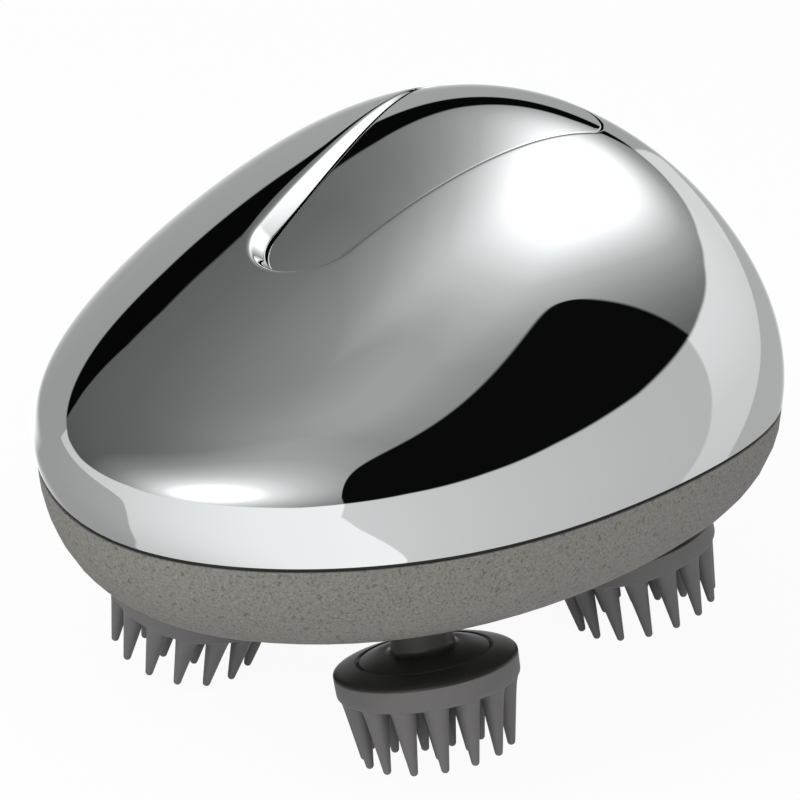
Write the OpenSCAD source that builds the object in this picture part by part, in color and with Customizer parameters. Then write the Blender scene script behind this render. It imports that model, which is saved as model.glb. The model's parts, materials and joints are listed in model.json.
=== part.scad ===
// Electric scalp massager: a chrome dome over a speckled housing, with four
// tilted kneading heads turned by one gearmotor, and a petal-shaped power key.
// Millimetres. +Z is up, the nose points towards -Y, and z = 0 is the plane
// that the lowest massage tips rest on.

/* [Body] */
// Length of the body at the seam, nose to tail
body_l = 122; // [119:1:125]
// Breadth that the plan outline is scaled by
body_w = 106; // [103:1:109]
// Height scale of the dome above the seam
dome_h = 40.5; // [39:0.5:43]
// Depth of the lower housing below the seam
housing_depth = 18.3; // [17.5:0.1:20]
// Share by which the lower housing draws in at its flat bottom
housing_draw = 0.25; // [0.2:0.01:0.27]
// Wall of the chrome shell
shell_wall = 2.2; // [1.8:0.1:2.6]
// Wall and floor of the lower housing
housing_wall = 2.4; // [2:0.1:2.8]
// Thickness of the gasket in the seam
gasket_t = 0.7; // [0.5:0.1:1.2]

/* [Dome form] */
// How much broader the tail is than the nose
plan_taper = 0.20; // [0.16:0.01:0.24]
// Squareness that the plan gains towards both ends
plan_square = 0.24; // [0.2:0.01:0.28]
// Shoulder that the plan gains near the tail
plan_shoulder = 0.19; // [0.14:0.01:0.24]
// How much the dome rises from nose to tail
crest_rise = 0.48; // [0.42:0.01:0.54]
// How much of that rise the tail keeps
crest_hold = 0.07; // [0:0.01:0.14]
// Shift of the dome's pole along Y, low down
pole_shift_low = -10.5; // [-12:0.5:-9]
// Shift of the dome's pole along Y, near the top
pole_shift_high = 9; // [7:0.5:11]
// How far nose and tail swell out above the seam
end_swell = 0.22; // [0.18:0.01:0.26]
// How far the flanks lean in above the seam
side_lean = 0.02; // [0:0.01:0.06]
// How far the flanks fill out again near the crest
side_fill = 0.06; // [0:0.01:0.12]
// How much lower the dome is over its flanks
side_fall = 0.22; // [0.16:0.01:0.28]

/* [Power key] */
// Where the petal's tip lies along Y
key_tip_y = -26.1; // [-27:0.1:-25]
// Length of the petal, tip to tail
key_l = 71; // [68:1:73]
// Radius of the petal's tip
key_tip_r = 8.8; // [8:0.1:9.2]
// Inward run of the lip round the petal for each millimetre that the petal lies deeper
lip_slope = 0.78; // [0.4:0.02:0.9]
// Angle by which the petal sinks towards its tip
key_dip = 2.7; // [2.4:0.1:3]
// Angle through which the petal is pressed
key_travel = 0.8; // [0.5:0.1:1]
// Thickness of the petal
key_t = 2; // [1.6:0.1:2.2]
// Gap between the petal and the shell around it
key_gap = 0.35; // [0.25:0.05:0.5]
// Radius of the pin that the petal turns on
key_pin_r = 1; // [0.8:0.1:1.2]

/* [Heads] */
// Tilt of each head on its spindle
head_tilt = 15.5; // [12:0.5:17]
// Direction in which each head leans: front left, front right, rear right, rear left
head_lean = [179, -17, 21, 180]; // [-180:1:360]
// Turn of each pad in its cup, in the same order
pad_turn = [-4, 6, 10, 0]; // [-12:1:12]
// Sideways distance of the spindles from the middle
spindle_dx = 21.4; // [20.8:0.1:22.2]
// Height of the tilt point below the housing's bottom
pivot_gap = 2.6; // [2.4:0.1:4]
// Distance along a head's axis from the tilt point to the cup's rim
cup_depth = 9.5; // [9:0.1:11]
// Radius of the cup's rim
cup_r = 14.7; // [13.5:0.1:15]
// Height of the silicone band under the cup's rim
band_h = 3.9; // [3:0.1:5]
// Length of the massage tines
tine_l = 10.7; // [9:0.1:12]
// Radius of a tine at its root
tine_root_r = 2.0; // [1.7:0.1:2.1]
// Radius of a tine at its rounded tip
tine_tip_r = 0.65; // [0.5:0.05:0.8]
// Number of tines in the outer ring
tine_count = 15; // [14:1:16]
// Radius of the spindle
spindle_r = 2; // [1.8:0.1:2.3]

/* [Gear train] */
// Module of the gears
gear_module = 0.8; // [0.78:0.005:0.81]
// Teeth of the central gear
sun_teeth = 60; // [59:1:60]
// Teeth of each spindle gear
spindle_teeth = 27; // [26:1:27]
// Thickness of the gears
gear_t = 5; // [4:0.5:6]
// Distance of the central gear behind the middle of the body
sun_y = 10.5; // [9.5:0.1:11]
// Diameter of the gearmotor's output shaft
drive_shaft_d = 5; // [4:0.5:6]
// Diameter of the gearbox
gearbox_d = 25; // [24:0.5:27]
// Length of the gearbox
gearbox_l = 14; // [12:0.5:15]
// Diameter of the motor can
motor_d = 24.2; // [22:0.2:25]
// Depth of the motor's upper end below the dome's height scale
motor_drop = 11.9; // [11:0.1:14]

/* [Power] */
// Diameter of the battery cell
cell_d = 18.4; // [17:0.1:18.6]
// Length of the battery cell
cell_l = 50; // [48:0.5:52]
// Distance of the battery cell behind the middle of the body
cell_y = 36; // [35:0.5:37]
// Radius of the charging socket's bore
socket_bore_r = 1.3; // [1.2:0.05:1.8]
// Length of the charging socket
socket_l = 11; // [9:0.5:12]

/* [Hidden] */

plan_shift = 0.456;     // Y shift of the body that centres its swollen outline on y = 0

seat_gap = 0.02;        // clearance of pieces that sit fast in each other
run_gap = 0.05;         // radial clearance of pieces that turn in each other
round_fn = 64;          // segments of the round pieces
small_fn = 32;          // segments of screws, pins and tines

// Heights, stacked up from the plane of the tips.
tip_reach = cup_depth + band_h + tine_l - tine_tip_r;
tine_ring_r = cup_r - 2.3;
tine_tip_ring_r = tine_ring_r - 0.6;
pivot_z = tip_reach * cos(head_tilt) + tine_tip_ring_r * sin(head_tilt) + tine_tip_r;
bottom_z = pivot_z + pivot_gap;
seam_z = bottom_z + housing_depth + gasket_t / 2;
floor_z = bottom_z + housing_wall;
bush_boss_h = 4.2;
gear_lift = 0.4;
gear_z = floor_z + bush_boss_h + gear_lift;
plate_z = gear_z + gear_t + 1.2;
plate_t = 2.4;
plate_top = plate_z + plate_t;
motor_l = seam_z + gasket_t / 2 + dome_h - motor_drop - plate_top - gearbox_l;
bearing_h = 2;

// The two gears' pitch circles touch, which sets how far the spindles lie apart in Y.
gear_distance = gear_module * (sun_teeth + spindle_teeth) / 2;
spindle_dy = sqrt(gear_distance * gear_distance - spindle_dx * spindle_dx);
head_places = [
    [-spindle_dx, sun_y - spindle_dy], [spindle_dx, sun_y - spindle_dy],
    [spindle_dx, sun_y + spindle_dy], [-spindle_dx, sun_y + spindle_dy]
];

// ---------- the skin of the body ----------

// Half breadth of the plan at v, where v runs from -1 at the nose to 1 at the tail,
// as a share of half of body_w.
function plan_share(v) = 1 + v * (plan_taper + v * (plan_square + v * plan_shoulder));

// A point of the dome over the unit disc: u runs sideways, v from nose to tail, and w is
// the height of the unit sphere over them. The form is an ellipsoid whose breadth and
// height change smoothly with v.
function dome_over(u, v, w, inset) = [
    (body_w / 2 - inset) * u * plan_share(v) * (1 - side_lean * w + side_fill * w * w),
    plan_shift + (body_l / 2 - inset) * v * (1 + end_swell * w)
        + pole_shift_low * w * w + pole_shift_high * pow(w, 4),
    seam_z + gasket_t / 2 + (dome_h - inset) * w * (1 + v * (crest_rise + v * crest_hold))
        * (1 - side_fall * u * u)
];

// A point of the dome: az runs round the plan from +X, up from the seam at 0 to the
// pole at 90.
function dome_point(az, up, inset) =
    dome_over(cos(az) * cos(up), sin(az) * cos(up), sin(up), inset);

// A point of the lower housing: down runs from the seam at 0 to the flat bottom at 90.
housing_shift = 3.4;
function housing_point(az, down, inset) = let (
    share = 1 - housing_draw * (1 - cos(down)),
    y = (body_l / 2 - inset) * sin(az)
) [
    (body_w / 2 - inset) * cos(az) * plan_share(sin(az)) * share,
    plan_shift + housing_shift + (y - housing_shift) * share,
    seam_z - gasket_t / 2 - (housing_depth - inset) * sin(down)
];

// The plan outline at the seam, drawn in by inset.
function seam_outline(inset, n) = [
    for (i = [0:n - 1]) let (az = 360 * i / n, p = dome_point(az, 0, inset)) [p.x, p.y]
];

// A closed solid through rings of equal count that run counter-clockwise seen from
// above, lowest ring first, closed by a fan at each end.
module skin(rings, low, high) {
    n = len(rings[0]);
    m = len(rings);
    points = concat([for (r = rings) each r], [low, high]);
    sides = [
        for (i = [0:m - 2], j = [0:n - 1]) let (
            k = (j + 1) % n,
            a = i * n + j,
            b = i * n + k
        ) each [[a, a + n, b + n], [a, b + n, b]]
    ];
    under = [for (j = [0:n - 1]) [j, (j + 1) % n, m * n]];
    over = [for (j = [0:n - 1]) [(m - 1) * n + (j + 1) % n, (m - 1) * n + j, m * n + 1]];
    polyhedron(points = points, faces = concat(sides, under, over), convexity = 6);
}

// The dome as a solid, drawn in by inset on every side.
module dome_solid(inset, around, rise) {
    rings = [
        for (i = [0:rise - 1]) [
            for (j = [0:around - 1]) dome_point(360 * j / around, 90 * i / rise, inset)
        ]
    ];
    skin(rings, [0, 0, seam_z + gasket_t / 2], dome_point(0, 90, inset));
}

// The lower housing as a solid, drawn in by inset on every side.
module housing_solid(inset, around, fall) {
    rings = [
        for (i = [fall:-1:0]) [
            for (j = [0:around - 1]) housing_point(360 * j / around, 90 * i / fall, inset)
        ]
    ];
    low_z = seam_z - gasket_t / 2 - housing_depth + inset;
    skin(rings, [0, 0, low_z], [0, 0, seam_z - gasket_t / 2]);
}

// ---------- the petal ----------

// Height of the dome over its middle line at y.
crest_line = concat(
    [for (up = [20:2:90]) let (p = dome_point(270, up, 0)) [p.y, p.z]],
    [for (up = [88:-2:20]) let (p = dome_point(90, up, 0)) [p.y, p.z]]
);
function crest_z(y) = lookup(y, crest_line);

hinge_y = key_tip_y + key_l - 4.5;
hinge_drop = 6.6;
hinge_z = crest_z(hinge_y) - hinge_drop;
key_flare = 0.1;
key_flare_growth = 0.0015;
tail_round = 12;
cut_low = 12;           // height above the seam from which the petal's cutters reach up

// Half breadth of the petal at distance s behind its tip, for a petal of length l. The
// flanks spread, and an ellipse rounds off either end.
function petal_half(s, tip_r, l) =
    (tip_r + key_flare * (s - tip_r) + key_flare_growth * pow(max(0, s - tip_r), 2))
        * sqrt(1 - pow(max(0, 1 - s / tip_r), 2))
        * sqrt(max(0, 1 - pow(max(0, (s - l + tail_round) / tail_round), 2)));

// The petal's outline, grown by grow on every side.
function petal_outline(grow) = let (
    l = key_l + 2 * grow,
    tip_r = key_tip_r + grow,
    steps = 24,
    stations = [for (i = [0:steps]) l * (1 - cos(180 * i / steps)) / 2],
    right = [for (s = stations) [petal_half(s, tip_r, l), key_tip_y - grow + s]]
) concat(
    [for (i = [0:steps]) right[i]],
    [for (i = [steps - 1:-1:1]) [-right[i].x, right[i].y]]
);

// An upright prism over the petal.
module petal_prism(grow) {
    translate([0, 0, seam_z + cut_low]) linear_extrude(dome_h + cut_low)
        polygon(petal_outline(grow));
}

// Turns its children down towards the nose about the petal's hinge line.
module dipped(angle) {
    translate([0, hinge_y, hinge_z]) rotate([angle, 0, 0]) translate([0, -hinge_y, -hinge_z])
        children();
}

// The dome's point at plan place p, found in n steps from a first guess of u and v.
seek_steps = 8;
seek_probe = 0.001;
function disc_point(u, v) = dome_over(u, v, sqrt(max(0, 1 - u * u - v * v)), 0);
function dome_at(p, u, v, n) = let (here = disc_point(u, v)) n == 0 ? here : let (
    du = (disc_point(u + seek_probe, v) - here) / seek_probe,
    dv = (disc_point(u, v + seek_probe) - here) / seek_probe,
    turn = du.x * dv.y - du.y * dv.x,
    gap = [p.x - here.x, p.y - here.y]
) dome_at(p, u + (gap.x * dv.y - gap.y * dv.x) / turn,
    v + (gap.y * du.x - gap.x * du.y) / turn, n - 1);
function dome_z(p) = dome_at(p, 1.8 * p.x / body_w, 1.8 * p.y / body_l, seek_steps).z;

// Height of the petal's top at p: z is a guess, which is turned back up about the hinge
// line and compared with the dome, n times.
function petal_top(p, z, n) = n == 0 ? z : let (
    y = hinge_y + (p.y - hinge_y) * cos(key_dip) + (z - hinge_z) * sin(key_dip),
    up = hinge_z + (z - hinge_z) * cos(key_dip) - (p.y - hinge_y) * sin(key_dip)
) petal_top(p, z + dome_z([p.x, y]) - up, n - 1);
function petal_z(p) = petal_top(p, dome_z(p) - (hinge_y - p.y) * sin(key_dip), 3);

// The opening's edge, the plan directions that point out of it, and how deep the petal
// lies under it. A lip slopes from that edge in to the petal and ends above its rim.
rim_line = petal_outline(0);
rim_count = len(rim_line);
rim_out = [
    for (i = [0:rim_count - 1]) let (
        d = rim_line[(i + 1) % rim_count] - rim_line[(i + rim_count - 1) % rim_count]
    ) [d.y, -d.x] / norm(d)
];
rim_depth = [for (p = rim_line) max(0, dome_z(p) - petal_z(p))];
lip_line = [for (i = [0:rim_count - 1]) rim_line[i] - lip_slope * rim_depth[i] * rim_out[i]];
lip_z = [for (p = lip_line) min(dome_z(p), petal_z(p))];
lip_t = 1.8;
lip_foot = 1;
rim_rise = 5;

// A ring that follows the lip's lower edge, moved out by out and up by up.
function lip_ring(out, up) = [
    for (i = [0:rim_count - 1]) let (p = lip_line[i] + out * rim_out[i]) [p.x, p.y, lip_z[i] + up]
];

// A ring that follows the opening's edge, moved up by up along the lip's slope.
function rim_ring(up) = [
    for (i = [0:rim_count - 1]) let (p = rim_line[i] + lip_slope * up * rim_out[i])
        [p.x, p.y, dome_z(rim_line[i]) + up]
];

// What is cut out of the shell: upright below the lip's lower edge, and spreading above
// it along the lip's slope, through the dome's surface.
module petal_opening() {
    middle = key_tip_y + key_l / 2;
    skin([lip_ring(0, -shell_wall - 10), lip_ring(0, 0), rim_ring(0), rim_ring(rim_rise)],
        [0, middle, seam_z + 8], [0, middle, seam_z + dome_h + 30]);
}

// The lip: a band outside the opening that reaches from within the shell down past the
// petal's rim.
module petal_lip() {
    middle = key_tip_y + key_l / 2;
    difference() {
        intersection() {
            dome_solid(shell_wall / 2, 60, 14);
            skin([lip_ring(-0.3, -lip_foot), lip_ring(lip_t, -lip_foot), lip_ring(lip_t, 8)],
                [0, middle, seam_z + cut_low], [0, middle, seam_z + dome_h + 30]);
        }
        petal_opening();
    }
}

// ---------- shells ----------

// The body is a rounded triangle in plan, so three screws hold it: one in the nose
// and one in each rear corner.
case_screw_places = [[0, -38], [37.3, 27], [-37.3, 27]];
case_screw_r = 1.1;
case_boss_r = 2.7;
case_head_r = 2;
case_head_h = 1.6;
case_recess = 4;
case_thread = 7;
boss_gap = 0.2;

module top_shell() color("silver") {
    difference() {
        dome_solid(0, 72, 16);
        translate([0, 0, -0.01]) dome_solid(shell_wall, 60, 12);
        petal_opening();
    }
    petal_lip();
    difference() {
        intersection() {
            dome_solid(shell_wall / 2, 48, 10);
            for (p = case_screw_places) translate([p.x, p.y, seam_z + gasket_t / 2])
                cylinder(r = case_boss_r, h = dome_h, $fn = small_fn);
        }
        for (p = case_screw_places) translate([p.x, p.y, seam_z])
            cylinder(r = case_screw_r, h = case_thread + 1, $fn = small_fn);
    }
}

module seam_gasket() color([0.12, 0.12, 0.11])
    translate([0, 0, seam_z - gasket_t / 2]) linear_extrude(gasket_t) difference() {
        polygon(seam_outline(0.35, 72));
        polygon(seam_outline(shell_wall, 60));
    }

// Posts in the lower housing that carry the gear plate.
post_places = [[0, -26], [0, 40], [29.5, sun_y], [-29.5, sun_y]];
post_r = 3;
post_pilot_r = 0.9;
bush_outer_r = spindle_r + 1.4;
bush_boss_r = bush_outer_r + 1.6;
drive_boss_r = drive_shaft_d / 2 + 2;
seal_r = 5.6;
seal_t = 1.6;
seal_proud = 0.3;
socket_z = seam_z - 9;
socket_outer_r = 3;
socket_tail = housing_point(90, 28, 0).y;

module lower_housing() color([0.50, 0.50, 0.47]) difference() {
    union() {
        difference() {
            housing_solid(0, 72, 9);
            translate([0, 0, 0.01]) housing_solid(housing_wall, 60, 8);
        }
        for (p = head_places) translate([p.x, p.y, bottom_z + 1])
            cylinder(r = bush_boss_r, h = gear_z - gear_lift - bottom_z - 1, $fn = round_fn);
        translate([0, sun_y, bottom_z + 1])
            cylinder(r = drive_boss_r, h = gear_z - gear_lift - bottom_z - 1, $fn = round_fn);
        for (p = post_places) translate([p.x, p.y, bottom_z + 1])
            cylinder(r = post_r, h = plate_z - bottom_z - 1, $fn = small_fn);
        for (p = case_screw_places) translate([p.x, p.y, bottom_z + 0.5])
            cylinder(r = case_boss_r, h = seam_z - gasket_t / 2 - boss_gap - bottom_z - 0.5,
                $fn = small_fn);
    }
    for (p = head_places) translate([p.x, p.y, bottom_z - 1]) {
        cylinder(r = bush_outer_r + seat_gap, h = gear_z - bottom_z + 1, $fn = round_fn);
        cylinder(r = seal_r + seat_gap, h = 1 + seal_t - seal_proud, $fn = round_fn);
    }
    translate([0, sun_y, bottom_z + 1.2])
        cylinder(r = drive_shaft_d / 2 + run_gap, h = gear_z - bottom_z, $fn = round_fn);
    for (p = post_places) translate([p.x, p.y, plate_z - plate_screw_l - 0.6])
        cylinder(r = post_pilot_r, h = plate_screw_l + 1, $fn = small_fn);
    for (p = case_screw_places) translate([p.x, p.y, bottom_z - 1]) {
        cylinder(r = case_head_r + 0.2, h = 1 + case_recess, $fn = small_fn);
        cylinder(r = case_screw_r + 0.15, h = seam_z - bottom_z + 2, $fn = small_fn);
    }
    translate([0, socket_tail - socket_l - 1, socket_z]) rotate([-90, 0, 0])
        cylinder(r = socket_outer_r + seat_gap, h = socket_l + 6, $fn = small_fn);
}

// ---------- gear train ----------

// Polar angle, in degrees, by which an involute has turned at radius r.
function involute_turn(base_r, r) = let (a = sqrt(max(0, pow(r / base_r, 2) - 1)))
    a * 180 / PI - atan(a);

// Outline of an involute spur gear: each flank is taken at the base, pitch and tip
// radii, and the teeth are thinned by backlash at the pitch circle.
function gear_outline(teeth, backlash) = let (
    pitch_r = gear_module * teeth / 2,
    base_r = pitch_r * cos(20),
    root_r = pitch_r - 1.25 * gear_module,
    tip_r = pitch_r + gear_module,
    half_pitch = 90 / teeth - backlash / 2 / pitch_r * 180 / PI,
    radii = [root_r, base_r, pitch_r, tip_r],
    halves = [
        for (r = radii)
            half_pitch + involute_turn(base_r, pitch_r) - involute_turn(base_r, max(r, base_r))
    ]
) [
    for (t = [0:teeth - 1]) let (mid = 360 * t / teeth) each concat(
        [for (i = [0:3]) radii[i] * [cos(mid - halves[i]), sin(mid - halves[i])]],
        [for (i = [3:-1:0]) radii[i] * [cos(mid + halves[i]), sin(mid + halves[i])]]
    )
];

gear_backlash = 0.14;
gear_web_t = 1.6;

// A spur gear with a hub and a thinner web between hub and rim.
module spur_gear(teeth, bore_r, hub_r) {
    rim_r = gear_module * teeth / 2 - 1.25 * gear_module - 1.8;
    difference() {
        linear_extrude(gear_t) polygon(gear_outline(teeth, gear_backlash));
        translate([0, 0, -1]) cylinder(r = bore_r, h = gear_t + 2, $fn = round_fn);
        for (z = [-1, gear_t / 2 + gear_web_t / 2]) translate([0, 0, z])
            difference() {
                cylinder(r = rim_r, h = gear_t / 2 - gear_web_t / 2 + 1, $fn = round_fn);
                translate([0, 0, -1]) cylinder(r = hub_r, h = gear_t + 2, $fn = round_fn);
            }
    }
}

module sun_gear() color([0.86, 0.84, 0.78]) translate([0, sun_y, gear_z])
    spur_gear(sun_teeth, drive_shaft_d / 2 + seat_gap, drive_shaft_d / 2 + 2.5);

// Each spindle gear is turned until a gap of its teeth faces a tooth of the sun.
module spindle_gear(i) color([0.80, 0.79, 0.74]) {
    p = head_places[i];
    line = atan2(p.y - sun_y, p.x);
    translate([p.x, p.y, gear_z])
        rotate([0, 0, line + 180 + line * sun_teeth / spindle_teeth + 180 / spindle_teeth])
            spur_gear(spindle_teeth, spindle_r + seat_gap, spindle_r + 2.2);
}

module drive_shaft() color("silver") translate([0, sun_y, bottom_z + 1.4])
    cylinder(d = drive_shaft_d, h = plate_top + gearbox_l - 4 - bottom_z - 1.4,
        $fn = round_fn);

gearbox_boss_r = drive_shaft_d / 2 + 2;
gearbox_screw_ring = gearbox_d / 2 - 4;
gearbox_screw_r = 1.2;
gearbox_thread = 4;
gearbox_screw_angles = [45, 135, 225, 315];

module gearbox() color([0.62, 0.62, 0.64]) translate([0, sun_y, plate_top]) difference() {
    union() {
        cylinder(d = gearbox_d, h = gearbox_l, $fn = round_fn);
        translate([0, 0, -plate_t]) cylinder(r = gearbox_boss_r, h = plate_t + 1, $fn = round_fn);
    }
    translate([0, 0, -plate_t - 1])
        cylinder(r = drive_shaft_d / 2 + run_gap, h = plate_t + gearbox_l - 2, $fn = round_fn);
    for (a = gearbox_screw_angles) rotate([0, 0, a]) translate([gearbox_screw_ring, 0, -1])
        cylinder(r = gearbox_screw_r + seat_gap, h = gearbox_thread + 1.5, $fn = small_fn);
    for (z = [gearbox_l * 0.35, gearbox_l * 0.7]) translate([0, 0, z]) difference() {
        cylinder(d = gearbox_d + 2, h = 0.6, $fn = round_fn);
        cylinder(d = gearbox_d - 0.8, h = 0.6, $fn = round_fn);
    }
}

module motor() color([0.72, 0.73, 0.75]) translate([0, sun_y, plate_top + gearbox_l]) {
    rotate_extrude($fn = round_fn) polygon([
        [0, 0], [motor_d / 2, 0], [motor_d / 2, motor_l - 1.2], [motor_d / 2 - 1.2, motor_l],
        [4, motor_l], [4, motor_l + 1.8], [0, motor_l + 1.8]
    ]);
    for (s = [-1, 1]) translate([s * 7.5 - 0.25, -1.4, motor_l - 0.5]) cube([0.5, 2.8, 3]);
}

bearing_r = bush_outer_r + 1.8;
arm_w = 7;
seat_rim = 2.5;
pillar_r = 2.4;
pillar_places = [[13.6, -8], [-13.6, -8]];
board_rise = 18;
pillar_z = seam_z + board_rise;
board_screw_r = 0.9;
board_t = 1.2;
board_w = 34;
board_l = 27;
board_back_y = -5.5;
switch_h = 5;
switch_top = pillar_z + board_t + switch_h;
gear_plate_bore = gearbox_boss_r + seat_gap;
plate_screw_r = 1.05;
plate_screw_l = 6;
screw_head_r = 2;
screw_head_h = 1.5;
cradle_z = plate_top + bearing_h;

// An arm of the gear plate from the sun's axis to the place p.
module plate_arm(p) {
    reach = sqrt(p.x * p.x + (p.y - sun_y) * (p.y - sun_y));
    translate([0, sun_y, plate_z]) rotate([0, 0, atan2(p.y - sun_y, p.x)])
        translate([0, -arm_w / 2, 0]) cube([reach, arm_w, plate_t]);
}

module gear_plate() color([0.30, 0.31, 0.33]) difference() {
    union() {
        translate([0, sun_y, plate_z])
            cylinder(d = gearbox_d + 2 * seat_rim, h = plate_t, $fn = round_fn);
        for (p = concat(head_places, post_places)) plate_arm(p);
        for (p = post_places) translate([p.x, p.y, plate_z])
            cylinder(d = arm_w + 1, h = plate_t, $fn = small_fn);
        for (p = head_places) translate([p.x, p.y, plate_z])
            cylinder(r = bearing_r, h = plate_t + bearing_h, $fn = round_fn);
        for (p = pillar_places) translate([p.x, p.y, plate_z])
            cylinder(r = pillar_r, h = pillar_z - plate_z, $fn = small_fn);
    }
    translate([0, sun_y, plate_z - 1])
        cylinder(r = gear_plate_bore, h = plate_t + 2, $fn = round_fn);
    for (p = head_places) translate([p.x, p.y, plate_z - 1])
        cylinder(r = bush_outer_r + seat_gap, h = plate_t + bearing_h + 2, $fn = round_fn);
    for (p = post_places) translate([p.x, p.y, plate_z - 1])
        cylinder(r = plate_screw_r + 0.1, h = plate_t + 2, $fn = small_fn);
    for (p = pillar_places) translate([p.x, p.y, pillar_z - 6])
        cylinder(r = board_screw_r, h = 7, $fn = small_fn);
    translate([0, sun_y, plate_z]) for (a = gearbox_screw_angles) rotate([0, 0, a])
        translate([gearbox_screw_ring, 0, -1]) {
            cylinder(r = gearbox_screw_r + 0.1, h = plate_t + 2, $fn = small_fn);
            cylinder(r = screw_head_r + 0.2, h = screw_head_h + 1.1, $fn = small_fn);
        }
}

// ---------- spindles and heads ----------

// Children drawn along a head's axis, with the tilt point at the origin and the head
// hanging below it.
module on_head(i) {
    p = head_places[i];
    translate([p.x, p.y, pivot_z]) rotate([0, 0, head_lean[i]]) rotate([0, -head_tilt, 0])
        children();
}

hub_l = cup_depth - 1.1;
neck_r = spindle_r + 3;
spindle_top = plate_top + bearing_h - 0.3;
elbow_swell = 0.3;

module spindle(i) color([0.75, 0.76, 0.78]) {
    p = head_places[i];
    translate([p.x, p.y, pivot_z])
        cylinder(r = spindle_r, h = spindle_top - pivot_z, $fn = round_fn);
    translate([p.x, p.y, pivot_z]) sphere(r = spindle_r + elbow_swell, $fn = round_fn);
    on_head(i) translate([0, 0, -hub_l + 0.2])
        cylinder(r = spindle_r, h = hub_l - 0.2, $fn = round_fn);
}

module bush(inner_r, outer_r, h) difference() {
    cylinder(r = outer_r, h = h, $fn = round_fn);
    translate([0, 0, -1]) cylinder(r = inner_r, h = h + 2, $fn = round_fn);
}

module upper_bushes() color("goldenrod") for (p = head_places)
    translate([p.x, p.y, plate_z]) bush(spindle_r + run_gap, bush_outer_r, plate_t + bearing_h);

module lower_bushes() color("goldenrod") for (p = head_places)
    translate([p.x, p.y, bottom_z + seal_t - seal_proud])
        bush(spindle_r + run_gap, bush_outer_r, gear_z - gear_lift - bottom_z - seal_t + seal_proud);

module shaft_seals() color([0.1, 0.1, 0.1]) for (p = head_places)
    translate([p.x, p.y, bottom_z - seal_proud]) bush(spindle_r + 0.25, seal_r, seal_t);

plug_r = cup_r * 0.55;
plug_top = cup_depth - 1.0;

// The cup: a shallow mushroom. From its neck a low mound falls to a groove at 0.72 of
// its radius, and a brim falls on from there to the rim. Its underside takes the pad's
// plug. Heights above the rim's plane are taken off cup_depth.
groove_r = cup_r * 0.72;
groove_half_w = 0.3;
module head_cup(i) color([0.13, 0.13, 0.12]) on_head(i) rotate_extrude($fn = round_fn)
    polygon([
        [spindle_r + 1.1, 0.2], [neck_r, 0.2], [neck_r + 0.1, 3.1 - cup_depth],
        [neck_r + 0.6, 2.6 - cup_depth], [cup_r * 0.5, 2.35 - cup_depth],
        [cup_r * 0.6, 2 - cup_depth], [groove_r - groove_half_w, 1.5 - cup_depth],
        [groove_r, 1.1 - cup_depth], [groove_r + groove_half_w, 1.5 - cup_depth],
        [cup_r * 0.87, 1.05 - cup_depth], [cup_r * 0.96, 0.6 - cup_depth],
        [cup_r * 0.995, 0.25 - cup_depth], [cup_r, -cup_depth],
        [plug_r + 0.1, -cup_depth], [plug_r + 0.1, -plug_top], [spindle_r + seat_gap, -plug_top],
        [spindle_r + seat_gap, -1.4], [spindle_r + 1.1, -0.9]
    ]);

// One tine: a cone with a rounded tip, leaning in from its root ring to its tip ring.
module tine(root_ring, tip_ring, l) {
    lean = atan2(root_ring - tip_ring, l);
    translate([root_ring, 0, 0]) rotate([0, lean, 0]) {
        translate([0, 0, -l + tine_tip_r])
            cylinder(r1 = tine_tip_r, r2 = tine_root_r, h = l - tine_tip_r, $fn = small_fn);
        translate([0, 0, -l + tine_tip_r]) sphere(r = tine_tip_r, $fn = small_fn);
    }
}

module head_pad(i) color([0.41, 0.40, 0.41]) on_head(i) {
    rotate_extrude($fn = round_fn) polygon([
        [0, -plug_top - 0.05], [plug_r, -plug_top - 0.05], [plug_r, -cup_depth - 0.05],
        [cup_r, -cup_depth - 0.05], [cup_r - 0.1, -cup_depth - band_h + 0.9],
        [cup_r - 0.35, -cup_depth - band_h + 0.25], [cup_r - 0.8, -cup_depth - band_h],
        [0, -cup_depth - band_h]
    ]);
    translate([0, 0, -cup_depth - band_h + 0.3]) {
        for (k = [0:tine_count - 1]) rotate([0, 0, 180 + pad_turn[i] + 360 * k / tine_count])
            tine(tine_ring_r, tine_tip_ring_r, tine_l + 0.3);
        for (k = [0:7]) rotate([0, 0, 45 * k + 12]) tine(tine_ring_r * 0.56, tine_ring_r * 0.55,
            tine_l - 0.3);
        for (k = [0:2]) rotate([0, 0, 120 * k + 30]) tine(tine_ring_r * 0.2, tine_ring_r * 0.2,
            tine_l - 0.3);
    }
}

// ---------- key ----------

tray_rim = 3;
tray_side_gap = 0.5;
tray_depth = 8;
tray_t = 1.3;
bond_gap = 0.1;
lug_x = 12.2;
lug_t = 2.2;
lug_r = 1.8;
lug_drop = 6.2;
ear_x = 9.6;
ear_t = 2.4;
plunger_y = -19;
plunger_r = 1.8;
plunger_spare = 0.1;
plunger_low = switch_top + (hinge_y - plunger_y) * sin(key_travel) + plunger_spare;

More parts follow.
